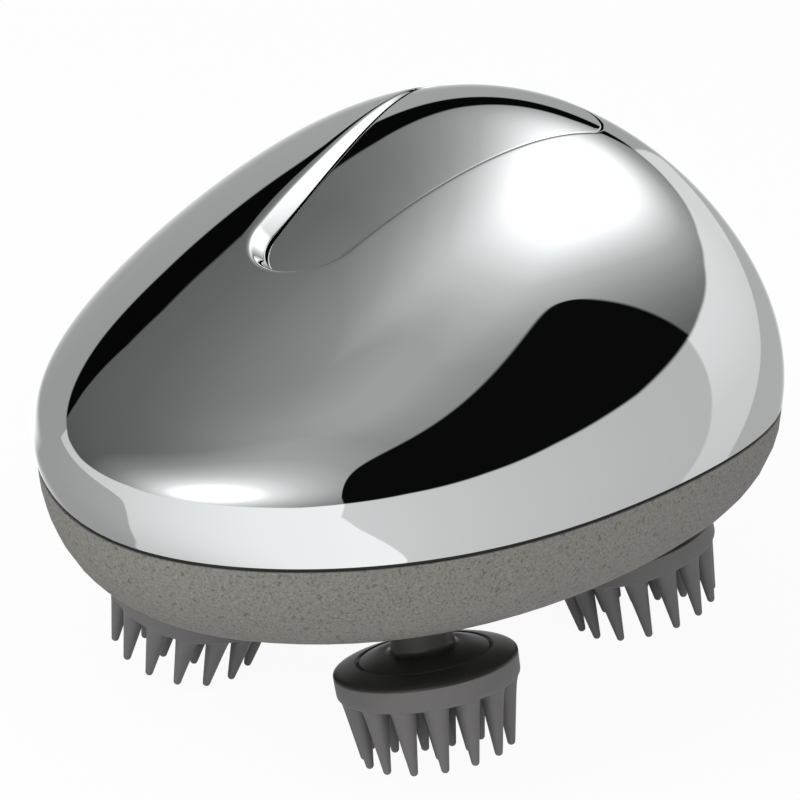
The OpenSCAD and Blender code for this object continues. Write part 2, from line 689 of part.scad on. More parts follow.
// The petal: a strip of the dome turned down towards the nose, with two ears that turn
// on the pin and a plunger that ends just above the switch.
module power_key() color([0.82, 0.83, 0.84]) {
    intersection() {
        translate([0, 0, seam_z + cut_low]) linear_extrude(dome_h + cut_low)
            polygon([for (i = [0:rim_count - 1]) lip_line[i] - key_gap * rim_out[i]]);
        dipped(key_dip) difference() {
            dome_solid(0, 72, 16);
            translate([0, 0, -0.01]) dome_solid(key_t, 60, 14);
        }
    }
    difference() {
        intersection() {
            dipped(key_dip) dome_solid(key_t / 2, 60, 14);
            union() {
                translate([0, plunger_y, plunger_low])
                    cylinder(r = plunger_r, h = 30, $fn = small_fn);
                for (s = [-1, 1]) translate([s * ear_x - ear_t / 2, hinge_y - lug_r, hinge_z])
                    cube([ear_t, 2 * lug_r, 30]);
                for (s = [-1, 1]) translate([s * ear_x - ear_t / 2, hinge_y, hinge_z])
                    rotate([0, 90, 0]) cylinder(r = lug_r, h = ear_t, $fn = small_fn);
            }
        }
        translate([-ear_x - ear_t, hinge_y, hinge_z]) rotate([0, 90, 0])
            cylinder(r = key_pin_r + run_gap, h = 2 * (ear_x + ear_t), $fn = small_fn);
    }
}

// The tray: a pan below the petal's opening, bonded to the inside of the shell. Its
// floor carries the hinge lugs and has the hole that the key's plunger runs in.
module key_tray() color([0.25, 0.26, 0.28]) difference() {
    union() {
        difference() {
            intersection() {
                petal_prism(tray_rim);
                dome_solid(shell_wall + bond_gap, 60, 12);
            }
            difference() {
                petal_prism(tray_side_gap);
                dome_solid(tray_depth, 48, 12);
            }
            dome_solid(tray_depth + tray_t, 48, 12);
        }
        for (s = [-1, 1]) translate([s * lug_x - lug_t / 2, hinge_y, hinge_z])
            rotate([0, 90, 0]) {
                cylinder(r = lug_r, h = lug_t, $fn = small_fn);
                translate([0, -lug_r, 0]) cube([lug_drop, 2 * lug_r, lug_t]);
            }
    }
    translate([0, plunger_y, seam_z]) cylinder(r = plunger_r + 0.5, h = 60, $fn = small_fn);
    translate([-lug_x - lug_t, hinge_y, hinge_z]) rotate([0, 90, 0])
        cylinder(r = key_pin_r + seat_gap, h = 2 * (lug_x + lug_t), $fn = small_fn);
}

module key_pin() color("silver") translate([-lug_x - lug_t / 2, hinge_y, hinge_z])
    rotate([0, 90, 0]) cylinder(r = key_pin_r, h = 2 * lug_x + lug_t, $fn = small_fn);

// A silicone ring round the plunger, between the tray and the petal, that pushes the
// petal back up.
module key_cushion() color([0.55, 0.55, 0.55]) intersection() {
    translate([0, plunger_y, switch_top]) bush(plunger_r + 0.6, plunger_r + 2.4, 30);
    difference() {
        dipped(key_dip) dome_solid(key_t + 0.1, 60, 14);
        dome_solid(tray_depth - 0.1, 48, 12);
    }
}

// ---------- fasteners ----------

// A pan-head screw with its head below and its shank pointing up.
module screw(shank_r, l, head_r, head_h) {
    cylinder(r = shank_r, h = l, $fn = small_fn);
    difference() {
        translate([0, 0, -head_h]) cylinder(r1 = head_r - 0.3, r2 = head_r, h = head_h,
            $fn = small_fn);
        for (a = [0, 90]) rotate([0, 0, a]) translate([-head_r * 0.6, -0.25, -head_h - 1])
            cube([head_r * 1.2, 0.5, 1 + head_h * 0.6]);
    }
}

module case_screws() color([0.35, 0.35, 0.36]) for (p = case_screw_places)
    translate([p.x, p.y, bottom_z + case_recess]) screw(case_screw_r - seat_gap,
        seam_z + case_thread - bottom_z - case_recess, case_head_r, case_head_h);

module plate_screws() color([0.5, 0.5, 0.52]) for (p = post_places)
    translate([p.x, p.y, plate_top]) mirror([0, 0, 1]) screw(post_pilot_r - seat_gap,
        plate_screw_l + plate_t, screw_head_r, screw_head_h);

module gearbox_screws() color([0.5, 0.5, 0.52]) translate([0, sun_y, plate_z + screw_head_h + 0.1])
    for (a = gearbox_screw_angles) rotate([0, 0, a]) translate([gearbox_screw_ring, 0, 0])
        screw(gearbox_screw_r, plate_t - screw_head_h + gearbox_thread, screw_head_r, screw_head_h);

module board_screws() color([0.5, 0.5, 0.52]) for (p = pillar_places)
    translate([p.x, p.y, pillar_z + board_t]) mirror([0, 0, 1]) screw(board_screw_r - seat_gap,
        board_t + 5, 1.7, 1.2);

// ---------- power ----------

module battery_cell() color([0.20, 0.35, 0.55])
    translate([-cell_l / 2, cell_y, cradle_z + 1.6 + cell_d / 2]) rotate([0, 90, 0]) {
        cylinder(d = cell_d, h = cell_l, $fn = round_fn);
        translate([0, 0, cell_l - 0.5]) cylinder(d = 6, h = 1.5, $fn = small_fn);
    }

cradle_wall = 1.6;
cradle_w = cell_d + 2 * cradle_wall;
cradle_l = cell_l + 2 * cradle_wall + 3;

// A trough with closed ends that holds the cell from below, opened between its ribs.
module battery_cradle() color([0.16, 0.16, 0.17]) difference() {
    translate([-cradle_l / 2, cell_y - cradle_w / 2, cradle_z])
        cube([cradle_l, cradle_w, cradle_wall + cell_d * 0.55]);
    translate([-cell_l / 2 - 1.5, cell_y, cradle_z + cradle_wall + cell_d / 2])
        rotate([0, 90, 0]) cylinder(d = cell_d + 0.1, h = cell_l + 3, $fn = round_fn);
    for (x = [-14, 0, 14]) translate([x - 5, cell_y - cradle_w, cradle_z + cradle_wall])
        cube([10, 2 * cradle_w, cell_d]);
}

// The board's larger components: a controller, a coil and three capacitors.
chip_x = 8.5;
chip_y = -30;
chip_l = 7;
chip_h = 1.1;
coil_l = 6;
coil_w = 4.5;
coil_h = 3.4;
cap_l = 3.2;
cap_w = 1.6;
cap_h = 0.9;

module control_board() color([0.10, 0.35, 0.18]) difference() {
    union() {
        translate([-board_w / 2, board_back_y - board_l, pillar_z])
            cube([board_w, board_l, board_t]);
        translate([-chip_x - chip_l / 2, chip_y, pillar_z + board_t])
            cube([chip_l, chip_l, chip_h]);
        translate([chip_x - coil_l / 2, chip_y, pillar_z + board_t]) cube([coil_l, coil_w, coil_h]);
        for (k = [0:2]) translate([chip_x, chip_y + 8 + 4 * k, pillar_z + board_t])
            cube([cap_l, cap_w, cap_h]);
    }
    for (p = pillar_places) translate([p.x, p.y, pillar_z - 1])
        cylinder(r = board_screw_r + 0.15, h = board_t + 2, $fn = small_fn);
}

module tact_switch() color([0.15, 0.15, 0.15])
    translate([0, plunger_y, pillar_z + board_t]) {
        translate([-3, -3, 0]) cube([6, 6, 3.5]);
        translate([0, 0, 3]) cylinder(r = 1.7, h = switch_h - 3, $fn = small_fn);
    }

module charging_socket() color([0.1, 0.1, 0.1])
    translate([0, socket_tail - socket_l, socket_z]) rotate([-90, 0, 0]) difference() {
        cylinder(r = socket_outer_r, h = socket_l, $fn = small_fn);
        translate([0, 0, 1.5]) cylinder(r = socket_bore_r, h = socket_l, $fn = round_fn);
    }

top_shell();
power_key();
key_tray();
key_pin();
key_cushion();
seam_gasket();
lower_housing();
gear_plate();
gearbox();
motor();
drive_shaft();
sun_gear();
upper_bushes();
lower_bushes();
shaft_seals();
battery_cell();
battery_cradle();
control_board();
tact_switch();
charging_socket();
case_screws();
plate_screws();
gearbox_screws();
board_screws();
for (i = [0:3]) {
    spindle(i);
    spindle_gear(i);
    head_cup(i);
    head_pad(i);
}
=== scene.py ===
"""Looks of an electric scalp massager, built round its packed construction.

The construction stays as it was packed. This script lays smooth skins over the dome, the
petal key, the lower housing, the seam and the four heads, gives every other node its own
finish, and sets up the studio: floor, lamps, surroundings and camera.

Sizes here are in millimetres, as in the construction; a mesh is written in metres.
"""

import json
import logging
import math
from dataclasses import dataclass, field
from enum import Enum
from typing import Callable, Sequence

import bmesh
import bpy
import numpy as np
from mathutils import Matrix, Vector


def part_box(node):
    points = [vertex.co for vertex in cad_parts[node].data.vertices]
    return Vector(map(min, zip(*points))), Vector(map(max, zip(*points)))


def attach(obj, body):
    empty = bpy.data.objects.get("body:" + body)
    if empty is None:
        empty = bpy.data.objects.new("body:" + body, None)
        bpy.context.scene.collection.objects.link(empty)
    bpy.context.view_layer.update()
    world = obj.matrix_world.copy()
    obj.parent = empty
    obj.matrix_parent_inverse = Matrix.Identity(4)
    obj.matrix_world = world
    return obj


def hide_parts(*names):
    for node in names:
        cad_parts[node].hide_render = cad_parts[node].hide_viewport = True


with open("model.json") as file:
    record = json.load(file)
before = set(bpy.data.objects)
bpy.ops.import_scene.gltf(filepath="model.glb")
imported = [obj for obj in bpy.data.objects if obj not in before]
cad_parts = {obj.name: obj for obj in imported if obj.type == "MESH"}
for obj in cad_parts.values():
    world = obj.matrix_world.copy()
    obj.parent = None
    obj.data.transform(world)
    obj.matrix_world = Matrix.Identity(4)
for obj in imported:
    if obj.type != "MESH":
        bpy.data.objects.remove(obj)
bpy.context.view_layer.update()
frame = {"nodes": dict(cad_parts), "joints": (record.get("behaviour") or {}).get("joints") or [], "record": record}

MM = 0.001
log = logging.getLogger("scalp_massager")

Points = np.ndarray


class Cap(Enum):
    """How a ring grid ends: left open, or closed by a fan to its middle."""

    NONE = "none"
    FAN = "fan"


# ---------------------------------------------------------------- mesh building


class Skin:
    """Collects grids of points and turns them into one mesh object."""

    def __init__(self, name: str) -> None:
        """Starts an empty skin.

        Args:
            name: Name of the object that build() makes.
        """
        self.name = name
        self.points: list[Points] = []
        self.faces: list[Points] = []
        self.count = 0

    def _add_points(self, points: Points) -> int:
        """Stores points and returns the index of the first one."""
        first = self.count
        self.points.append(points.reshape(-1, 3))
        self.count += len(self.points[-1])
        return first

    def grid(self, points: Points, start: Cap = Cap.NONE, end: Cap = Cap.NONE,
             flip: bool = False) -> "Skin":
        """Adds a grid: points[i, j] with i round the piece and j along it.

        The last i is joined to the first.

        Args:
            points: Array of shape (n, m, 3) in millimetres.
            start: Whether j = 0 is closed by a fan.
            end: Whether the last j is closed by a fan.
            flip: Turns the faces round.

        Returns:
            The skin itself.
        """
        n, m = points.shape[:2]
        first = self._add_points(points)
        index = first + np.arange(n * m).reshape(n, m)
        index = np.vstack([index, index[:1]])
        a, b = index[:-1, :-1], index[1:, :-1]
        c, d = index[1:, 1:], index[:-1, 1:]
        quads = np.stack([a, b, c, d], axis=-1).reshape(-1, 4)
        if flip:
            quads = quads[:, ::-1]
        self.faces.append(quads)
        for cap, column, turned in ((start, 0, not flip), (end, m - 1, flip)):
            if cap is Cap.FAN:
                ring = index[:, column]
                middle = self._add_points(points[:, column].mean(axis=0)[None])
                fan = np.stack([ring[:-1], ring[1:], np.full(len(ring) - 1, middle)], axis=-1)
                if turned:
                    fan = fan[:, ::-1]
                self.faces.append(fan)
        return self

    def build(self, weld: float = 1e-4, sharp: float = 40.0) -> bpy.types.Object:
        """Makes the object: welds the seams between grids and smooths the shading.

        Args:
            weld: Distance in millimetres under which points merge.
            sharp: Angle in degrees above which an edge stays sharp.

        Returns:
            The new object, linked to the scene.
        """
        points = np.concatenate(self.points)
        keys = np.round(points / weld).astype(np.int64)
        _, keep, inverse = np.unique(keys, axis=0, return_index=True, return_inverse=True)
        inverse = inverse.reshape(-1)
        faces = []
        for block in self.faces:
            merged = inverse[block]
            same = merged == np.roll(merged, 1, axis=1)
            faces += merged[~same.any(axis=1)].tolist()
            if merged.shape[1] == 4:
                once = same.sum(axis=1) == 1
                faces += merged[once][~same[once]].reshape(-1, 3).tolist()
        mesh = bpy.data.meshes.new(self.name)
        mesh.from_pydata((points[keep] * MM).tolist(), [], faces)
        mesh.validate()
        mesh.shade_smooth()
        mesh.set_sharp_from_angle(angle=math.radians(sharp))
        made = bpy.data.objects.new(self.name, mesh)
        bpy.context.scene.collection.objects.link(made)
        return made


def ring_of(xy: Points, z: float | Points) -> Points:
    """Lifts plan points to height z: (n, 2) and a height give (n, 3)."""
    return np.column_stack([xy, np.broadcast_to(z, len(xy))])


def circle(radius: float, count: int, centre: tuple[float, float] = (0.0, 0.0)) -> Points:
    """Points of a circle in plan: centre + radius (cos t, sin t)."""
    t = np.linspace(0, 2 * np.pi, count, endpoint=False)
    return np.column_stack([centre[0] + radius * np.cos(t), centre[1] + radius * np.sin(t)])


def revolve(profile: Points, count: int) -> Points:
    """Carries a profile of (radius, height) round the Z axis.

    The point at turn t and profile place s is (r(s) cos t, r(s) sin t, z(s)).

    Args:
        profile: Array of shape (m, 2).
        count: Points round the axis.

    Returns:
        Grid of shape (count, m, 3).
    """
    t = np.linspace(0, 2 * np.pi, count, endpoint=False)[:, None]
    r, z = profile[:, 0][None], profile[:, 1][None]
    return np.stack([r * np.cos(t), r * np.sin(t), np.broadcast_to(z, (count, len(profile)))], -1)


def round_profile(corners: Sequence[tuple[float, float, float]], steps: int = 6) -> Points:
    """Rounds the corners of a profile with quadratic curves.

    Each corner (r, z, cut) is replaced by a parabola from the point cut before it to
    the point cut behind it, with the corner as its control point.

    Args:
        corners: Corners with the distance that each curve takes off.
        steps: Segments of each curve.

    Returns:
        Profile of shape (m, 2).
    """
    place = np.array([c[:2] for c in corners], float)
    out = [place[0]]
    cuts = [corner[2] for corner in corners[1:-1]]
    for before, here, after, cut in zip(place, place[1:], place[2:], cuts):
        if cut <= 0:
            out.append(here)
            continue
        back, on = before - here, after - here
        cut_back = min(cut, 0.49 * np.linalg.norm(back))
        cut_on = min(cut, 0.49 * np.linalg.norm(on))
        a = here + back / np.linalg.norm(back) * cut_back
        b = here + on / np.linalg.norm(on) * cut_on
        t = np.linspace(0, 1, steps + 1)[:, None]
        out.extend((1 - t) ** 2 * a + 2 * t * (1 - t) * here + t ** 2 * b)
    out.append(place[-1])
    return np.array(out)


# ---------------------------------------------------------------- form of the body


@dataclass(frozen=True)
class BodyForm:
    """The egg-shaped body: the same sizes and formulas as the construction's."""

    length: float = 122.0
    breadth: float = 106.0
    height: float = 40.5
    wall: float = 2.2
    gasket: float = 0.7
    taper: float = 0.20
    square: float = 0.24
    shoulder: float = 0.19
    crest_rise: float = 0.48
    crest_hold: float = 0.07
    pole_low: float = -10.5
    pole_high: float = 9.0
    end_swell: float = 0.22
    side_lean: float = 0.02
    side_fill: float = 0.06
    side_fall: float = 0.22
    plan_shift: float = 0.456
    seam_z: float = field(default_factory=lambda: float(
        sum(corner.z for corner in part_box("seam_gasket")) / 2 / MM))

    def plan(self, v: Points) -> Points:
        """Half breadth at v as a share: 1 + taper v + square v^2 + shoulder v^3."""
        return 1 + v * (self.taper + v * (self.square + v * self.shoulder))

    def dome(self, u: Points, v: Points, inset: float = 0.0) -> Points:
        """Dome point over the unit disc.

        With w = sqrt(1 - u^2 - v^2): x is the plan's breadth times u, narrowed by the
        side lean; y is the length times v, swollen and shifted with w; z is the height
        times w, raised towards the tail and lowered over the flanks.

        Args:
            u: Sideways disc coordinate, -1 to 1.
            v: Nose-to-tail disc coordinate, -1 to 1.
            inset: Distance by which the form is drawn in.

        Returns:
            Points of shape u.shape + (3,).
        """
        w = np.sqrt(np.clip(1 - u * u - v * v, 0, None))
        x = (self.breadth / 2 - inset) * u * self.plan(v) * (
            1 - self.side_lean * w + self.side_fill * w * w)
        y = self.plan_shift + (self.length / 2 - inset) * v * (1 + self.end_swell * w) \
            + self.pole_low * w ** 2 + self.pole_high * w ** 4
        z = self.seam_z + self.gasket / 2 + (self.height - inset) * w * (
            1 + v * (self.crest_rise + v * self.crest_hold)) * (1 - self.side_fall * u * u)
        return np.stack([x, y, z], -1)

    def over(self, xy: Points, inset: float = 0.0,
             turn: Callable[[Points], Points] | None = None) -> tuple[Points, Points]:
        """Finds the dome over plan points, by Newton's method on the disc coordinates.

        Args:
            xy: Plan points of shape (n, 2).
            inset: Distance by which the dome is drawn in.
            turn: A rigid motion of the dome, if it is to be turned first.

        Returns:
            Disc coordinates (n, 2) and the points on the dome (n, 3).
        """
        def at(uv: Points) -> Points:
            p = self.dome(uv[:, 0], uv[:, 1], inset)
            return turn(p) if turn else p

        uv = np.column_stack([xy[:, 0] / (self.breadth / 2), xy[:, 1] / (self.length / 2)]) * 0.9
        step = 1e-5
        for _ in range(25):
            p = at(uv)[:, :2]
            du = (at(uv + [step, 0])[:, :2] - p) / step
            dv = (at(uv + [0, step])[:, :2] - p) / step
            gap = xy - p
            det = du[:, 0] * dv[:, 1] - du[:, 1] * dv[:, 0]
            move = np.column_stack([
                (gap[:, 0] * dv[:, 1] - gap[:, 1] * dv[:, 0]) / det,
                (gap[:, 1] * du[:, 0] - gap[:, 0] * du[:, 1]) / det])
            uv = uv + np.clip(move, -0.2, 0.2)
            reach = np.linalg.norm(uv, axis=1, keepdims=True)
            uv = np.where(reach > 0.999, uv / reach * 0.999, uv)
        return uv, at(uv)


@dataclass(frozen=True)
class PetalForm:
    """The petal's outline, its dip about the hinge, and the lip round it."""

    body: BodyForm
    tip_y: float = -26.1
    length: float = 71.0
    tip_r: float = 8.8
    flare: float = 0.1
    flare_growth: float = 0.0015
    tail_round: float = 12.0
    dip: float = 2.7
    gap: float = 0.35
    thickness: float = 2.0
    lip_slope: float = 0.78
    lip_thickness: float = 1.8
    lip_foot: float = 1.0
    count: int = 720

    def half(self, s: Points) -> Points:
        """Half breadth at distance s behind the tip.

        The flanks spread quadratically from the tip's radius, and an ellipse rounds
        off either end.
        """
        past = s - self.tip_r
        flank = self.tip_r + self.flare * past + self.flare_growth * np.maximum(past, 0) ** 2
        tip = np.sqrt(1 - np.maximum(1 - s / self.tip_r, 0) ** 2)
        into_tail = np.maximum((s - self.length + self.tail_round) / self.tail_round, 0)
        return flank * tip * np.sqrt(np.maximum(1 - into_tail ** 2, 0))

    def edge(self) -> tuple[Points, Points]:
        """The opening's edge in plan, anticlockwise, and its outward directions."""
        s = self.length * (1 - np.cos(np.linspace(0, np.pi, 1200))) / 2
        right = np.column_stack([self.half(s), self.tip_y + s])
        loop = np.concatenate([right, right[-2:0:-1] * [-1, 1], right[:1]])
        run = np.concatenate([[0], np.cumsum(np.linalg.norm(np.diff(loop, axis=0), axis=1))])
        at = np.linspace(0, run[-1], self.count, endpoint=False)
        even = np.column_stack([np.interp(at, run, loop[:, k]) for k in (0, 1)])
        step = np.roll(even, -2, axis=0) - np.roll(even, 2, axis=0)
        out = np.column_stack([step[:, 1], -step[:, 0]])
        return even, out / np.linalg.norm(out, axis=1, keepdims=True)

    def lip(self) -> tuple[Points, Points]:
        """The lip's lower edge: plan points, and heights where the petal's top is.

        Every point lies inward of the opening's edge by lip_slope times the depth of
        the petal there.
        """
        edge, out = self.edge()
        top = self.body.over(edge)[1][:, 2]
        sunk = self.body.over(edge, 0.0, self.dipped)[1][:, 2]
        plan = edge - self.lip_slope * np.maximum(top - sunk, 0)[:, None] * out
        height = np.minimum(self.body.over(plan)[1][:, 2],
                            self.body.over(plan, 0.0, self.dipped)[1][:, 2])
        return plan, height

    @property
    def hinge(self) -> tuple[float, float]:
        """The hinge line's y and z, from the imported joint."""
        joint = next(j for j in frame["joints"] if j["name"] == "key_press")
        return joint["pos_m"][1] / MM, joint["pos_m"][2] / MM

    def dipped(self, points: Points) -> Points:
        """Turns points about the hinge line so that the petal's tip sinks."""
        y0, z0 = self.hinge
        c, s = math.cos(math.radians(self.dip)), math.sin(math.radians(self.dip))
        y, z = points[..., 1] - y0, points[..., 2] - z0
        return np.stack([points[..., 0], y0 + c * y - s * z, z0 + s * y + c * z], -1)


# ---------------------------------------------------------------- finishes


def new_material(name: str) -> tuple[bpy.types.Material, bpy.types.Node]:
    """Makes a node material and returns it with its Principled BSDF."""
    made = bpy.data.materials.new(name)
    made.use_nodes = True
    return made, made.node_tree.nodes["Principled BSDF"]


def link(tree: bpy.types.NodeTree, out: bpy.types.NodeSocket, into: bpy.types.NodeSocket) -> None:
    """Joins two sockets."""
    tree.links.new(out, into)


class NodeGroup:
    """A shader node group with named inputs and outputs, built once."""

    def __init__(self, name: str, inputs: dict[str, tuple[str, object]],
                 outputs: dict[str, str]) -> None:
        """Makes an empty group.

        Args:
            name: Name of the group.
            inputs: Socket name to its type and default.
            outputs: Socket name to its type.
        """
        self.tree = bpy.data.node_groups.new(name, "ShaderNodeTree")
        for label, (kind, default) in inputs.items():
            socket = self.tree.interface.new_socket(name=label, in_out="INPUT", socket_type=kind)
            socket.default_value = default
        for label, kind in outputs.items():
            self.tree.interface.new_socket(name=label, in_out="OUTPUT", socket_type=kind)
        self.source = self.tree.nodes.new("NodeGroupInput")
        self.sink = self.tree.nodes.new("NodeGroupOutput")

    def node(self, kind: str, **settings: object) -> bpy.types.Node:
        """Adds a node and sets its properties."""
        made = self.tree.nodes.new(kind)
        for key, value in settings.items():
            setattr(made, key, value)
        return made

    def place(self, tree: bpy.types.NodeTree, **values: object) -> bpy.types.Node:
        """Puts the group into a material's tree with its own values."""
        made = tree.nodes.new("ShaderNodeGroup")
        made.node_tree = self.tree
        for key, value in values.items():
            made.inputs[key.replace("_", " ").capitalize()].default_value = value
        return made


def build_grain_group() -> NodeGroup:
    """Fine moulded grain: a noise in Object coordinates as colour, roughness and height."""
    group = NodeGroup("moulded_grain", {
        "Colour": ("NodeSocketColor", (0.5, 0.5, 0.5, 1)),
        "Scale": ("NodeSocketFloat", 1500.0),
        "Tone": ("NodeSocketFloat", 0.06),
        "Roughness": ("NodeSocketFloat", 0.5),
    }, {"Colour": "NodeSocketColor", "Roughness": "NodeSocketFloat",
        "Height": "NodeSocketFloat"})
    tree = group.tree
    place = group.node("ShaderNodeTexCoord")
    noise = group.node("ShaderNodeTexNoise")
    noise.inputs["Detail"].default_value = 3.0
    cloud = group.node("ShaderNodeTexNoise")
    cloud.inputs["Scale"].default_value = 60.0
    link(tree, place.outputs["Object"], noise.inputs["Vector"])
    link(tree, place.outputs["Object"], cloud.inputs["Vector"])
    link(tree, group.source.outputs["Scale"], noise.inputs["Scale"])
    both = group.node("ShaderNodeMath", operation="ADD")
    link(tree, noise.outputs["Fac"], both.inputs[0])
    link(tree, cloud.outputs["Fac"], both.inputs[1])
    swing = group.node("ShaderNodeMath", operation="MULTIPLY_ADD")
    link(tree, both.outputs[0], swing.inputs[0])
    link(tree, group.source.outputs["Tone"], swing.inputs[1])
    base = group.node("ShaderNodeMath", operation="SUBTRACT")
    base.inputs[0].default_value = 1.0
    link(tree, group.source.outputs["Tone"], base.inputs[1])
    link(tree, base.outputs[0], swing.inputs[2])
    tint = group.node("ShaderNodeVectorMath", operation="SCALE")
    link(tree, group.source.outputs["Colour"], tint.inputs[0])
    link(tree, swing.outputs[0], tint.inputs["Scale"])
    rough = group.node("ShaderNodeMath", operation="MULTIPLY")
    link(tree, group.source.outputs["Roughness"], rough.inputs[0])
    link(tree, swing.outputs[0], rough.inputs[1])
    link(tree, tint.outputs[0], group.sink.inputs["Colour"])
    link(tree, rough.outputs[0], group.sink.inputs["Roughness"])
    link(tree, noise.outputs["Fac"], group.sink.inputs["Height"])
    return group


@dataclass(frozen=True)
class Fleck:
    """One layer of flecks: where its noise lies, how fine it is and where it cuts in."""

    shade: str
    shift: float
    finer: float
    low: float
    high: float
    most: float


FLECKS = (
    Fleck("Pale", 3.7, 1.7, 0.48, 0.70, 0.7),
    Fleck("Dark", 0.0, 1.7, 0.48, 0.70, 0.7),
    Fleck("Dark", 9.1, 0.9, 0.63, 0.70, 1.0),
)


def build_speckle_group() -> NodeGroup:
    """Fine speckles: faint pale and dark flecks over the base, and fewer strong ones."""
    group = NodeGroup("speckles", {
        "Colour": ("NodeSocketColor", (0.2, 0.2, 0.2, 1)),
        "Dark": ("NodeSocketColor", (0.1, 0.1, 0.1, 1)),
        "Pale": ("NodeSocketColor", (0.4, 0.4, 0.4, 1)),
        "Scale": ("NodeSocketFloat", 1400.0),
    }, {"Colour": "NodeSocketColor", "Height": "NodeSocketFloat"})
    tree = group.tree
    place = group.node("ShaderNodeTexCoord")
    previous = group.source.outputs["Colour"]
    height = None
    for fleck in FLECKS:
        move = group.node("ShaderNodeVectorMath", operation="ADD")
        move.inputs[1].default_value = (fleck.shift,) * 3
        link(tree, place.outputs["Object"], move.inputs[0])
        size = group.node("ShaderNodeMath", operation="MULTIPLY")
        size.inputs[1].default_value = fleck.finer
        link(tree, group.source.outputs["Scale"], size.inputs[0])
        noise = group.node("ShaderNodeTexNoise")
        noise.inputs["Detail"].default_value = 1.0
        link(tree, move.outputs[0], noise.inputs["Vector"])
        link(tree, size.outputs[0], noise.inputs["Scale"])
        mask = group.node("ShaderNodeMapRange")
        for name, value in (("From Min", fleck.low), ("From Max", fleck.high),
                            ("To Max", fleck.most)):
            mask.inputs[name].default_value = value
        link(tree, noise.outputs["Fac"], mask.inputs["Value"])
        mix = group.node("ShaderNodeMix", data_type="RGBA")
        link(tree, mask.outputs[0], mix.inputs["Factor"])
        link(tree, previous, mix.inputs["A"])
        link(tree, group.source.outputs[fleck.shade], mix.inputs["B"])
        previous = mix.outputs["Result"]
        height = mask.outputs[0]
    link(tree, previous, group.sink.inputs["Colour"])
    link(tree, height, group.sink.inputs["Height"])
    return group


@dataclass(frozen=True)
class MirrorChrome:
    """Mirror-bright chrome plating on plastic."""

    name: str = "mirror_chrome"
    colour: tuple[float, float, float] = (0.945, 0.972, 0.970)
    roughness: float = 0.012

    def make(self, kit: "FinishKit") -> bpy.types.Material:
        """Builds the material."""
        made, shader = new_material(self.name)
        grain = kit.grain.place(made.node_tree, scale=90.0, tone=0.01,
                                colour=(*self.colour, 1), roughness=self.roughness)
        link(made.node_tree, grain.outputs["Colour"], shader.inputs["Base Color"])
        link(made.node_tree, grain.outputs["Roughness"], shader.inputs["Roughness"])
        shader.inputs["Metallic"].default_value = 1.0
        return made


@dataclass(frozen=True)
class SpeckledPlastic:
    """Matte composite plastic with dark and pale flecks."""

    name: str = "speckled_plastic"
    colour: tuple[float, float, float] = (0.176, 0.173, 0.157)
    dark: tuple[float, float, float] = (0.105, 0.102, 0.090)
    pale: tuple[float, float, float] = (0.232, 0.228, 0.208)
    roughness: float = 0.62

    def make(self, kit: "FinishKit") -> bpy.types.Material:
        """Builds the material."""
        made, shader = new_material(self.name)
        tree = made.node_tree
        flecks = kit.speckles.place(tree, colour=(*self.colour, 1), dark=(*self.dark, 1),
                                    pale=(*self.pale, 1), scale=1500.0)
        bump = tree.nodes.new("ShaderNodeBump")
        bump.inputs["Strength"].default_value = 0.15
        bump.inputs["Distance"].default_value = 0.00005
        link(tree, flecks.outputs["Colour"], shader.inputs["Base Color"])
        link(tree, flecks.outputs["Height"], bump.inputs["Height"])
        link(tree, bump.outputs["Normal"], shader.inputs["Normal"])
        shader.inputs["Roughness"].default_value = self.roughness
        shader.inputs["Specular IOR Level"].default_value = 0.35
        return made


@dataclass(frozen=True)
class Moulded:
    """A moulded, turned or drawn finish in one colour with a fine grain."""

    name: str
    colour: tuple[float, float, float]
    roughness: float = 0.5
    metallic: float = 0.0
    scale: float = 1500.0
    tone: float = 0.06
    bump: float = 0.1
    specular: float = 0.5
    coat: float = 0.0
    sheen: float = 0.0

    def make(self, kit: "FinishKit") -> bpy.types.Material:
        """Builds the material."""
        made, shader = new_material(self.name)
        tree = made.node_tree
        grain = kit.grain.place(tree, colour=(*self.colour, 1), scale=self.scale,
                                tone=self.tone, roughness=self.roughness)
        link(tree, grain.outputs["Colour"], shader.inputs["Base Color"])
        link(tree, grain.outputs["Roughness"], shader.inputs["Roughness"])
        if self.bump > 0:
            bump = tree.nodes.new("ShaderNodeBump")
            bump.inputs["Strength"].default_value = self.bump
            bump.inputs["Distance"].default_value = 0.00005
            link(tree, grain.outputs["Height"], bump.inputs["Height"])
            link(tree, bump.outputs["Normal"], shader.inputs["Normal"])
        shader.inputs["Metallic"].default_value = self.metallic
        shader.inputs["Specular IOR Level"].default_value = self.specular
        shader.inputs["Coat Weight"].default_value = self.coat
        shader.inputs["Sheen Weight"].default_value = self.sheen
        return made


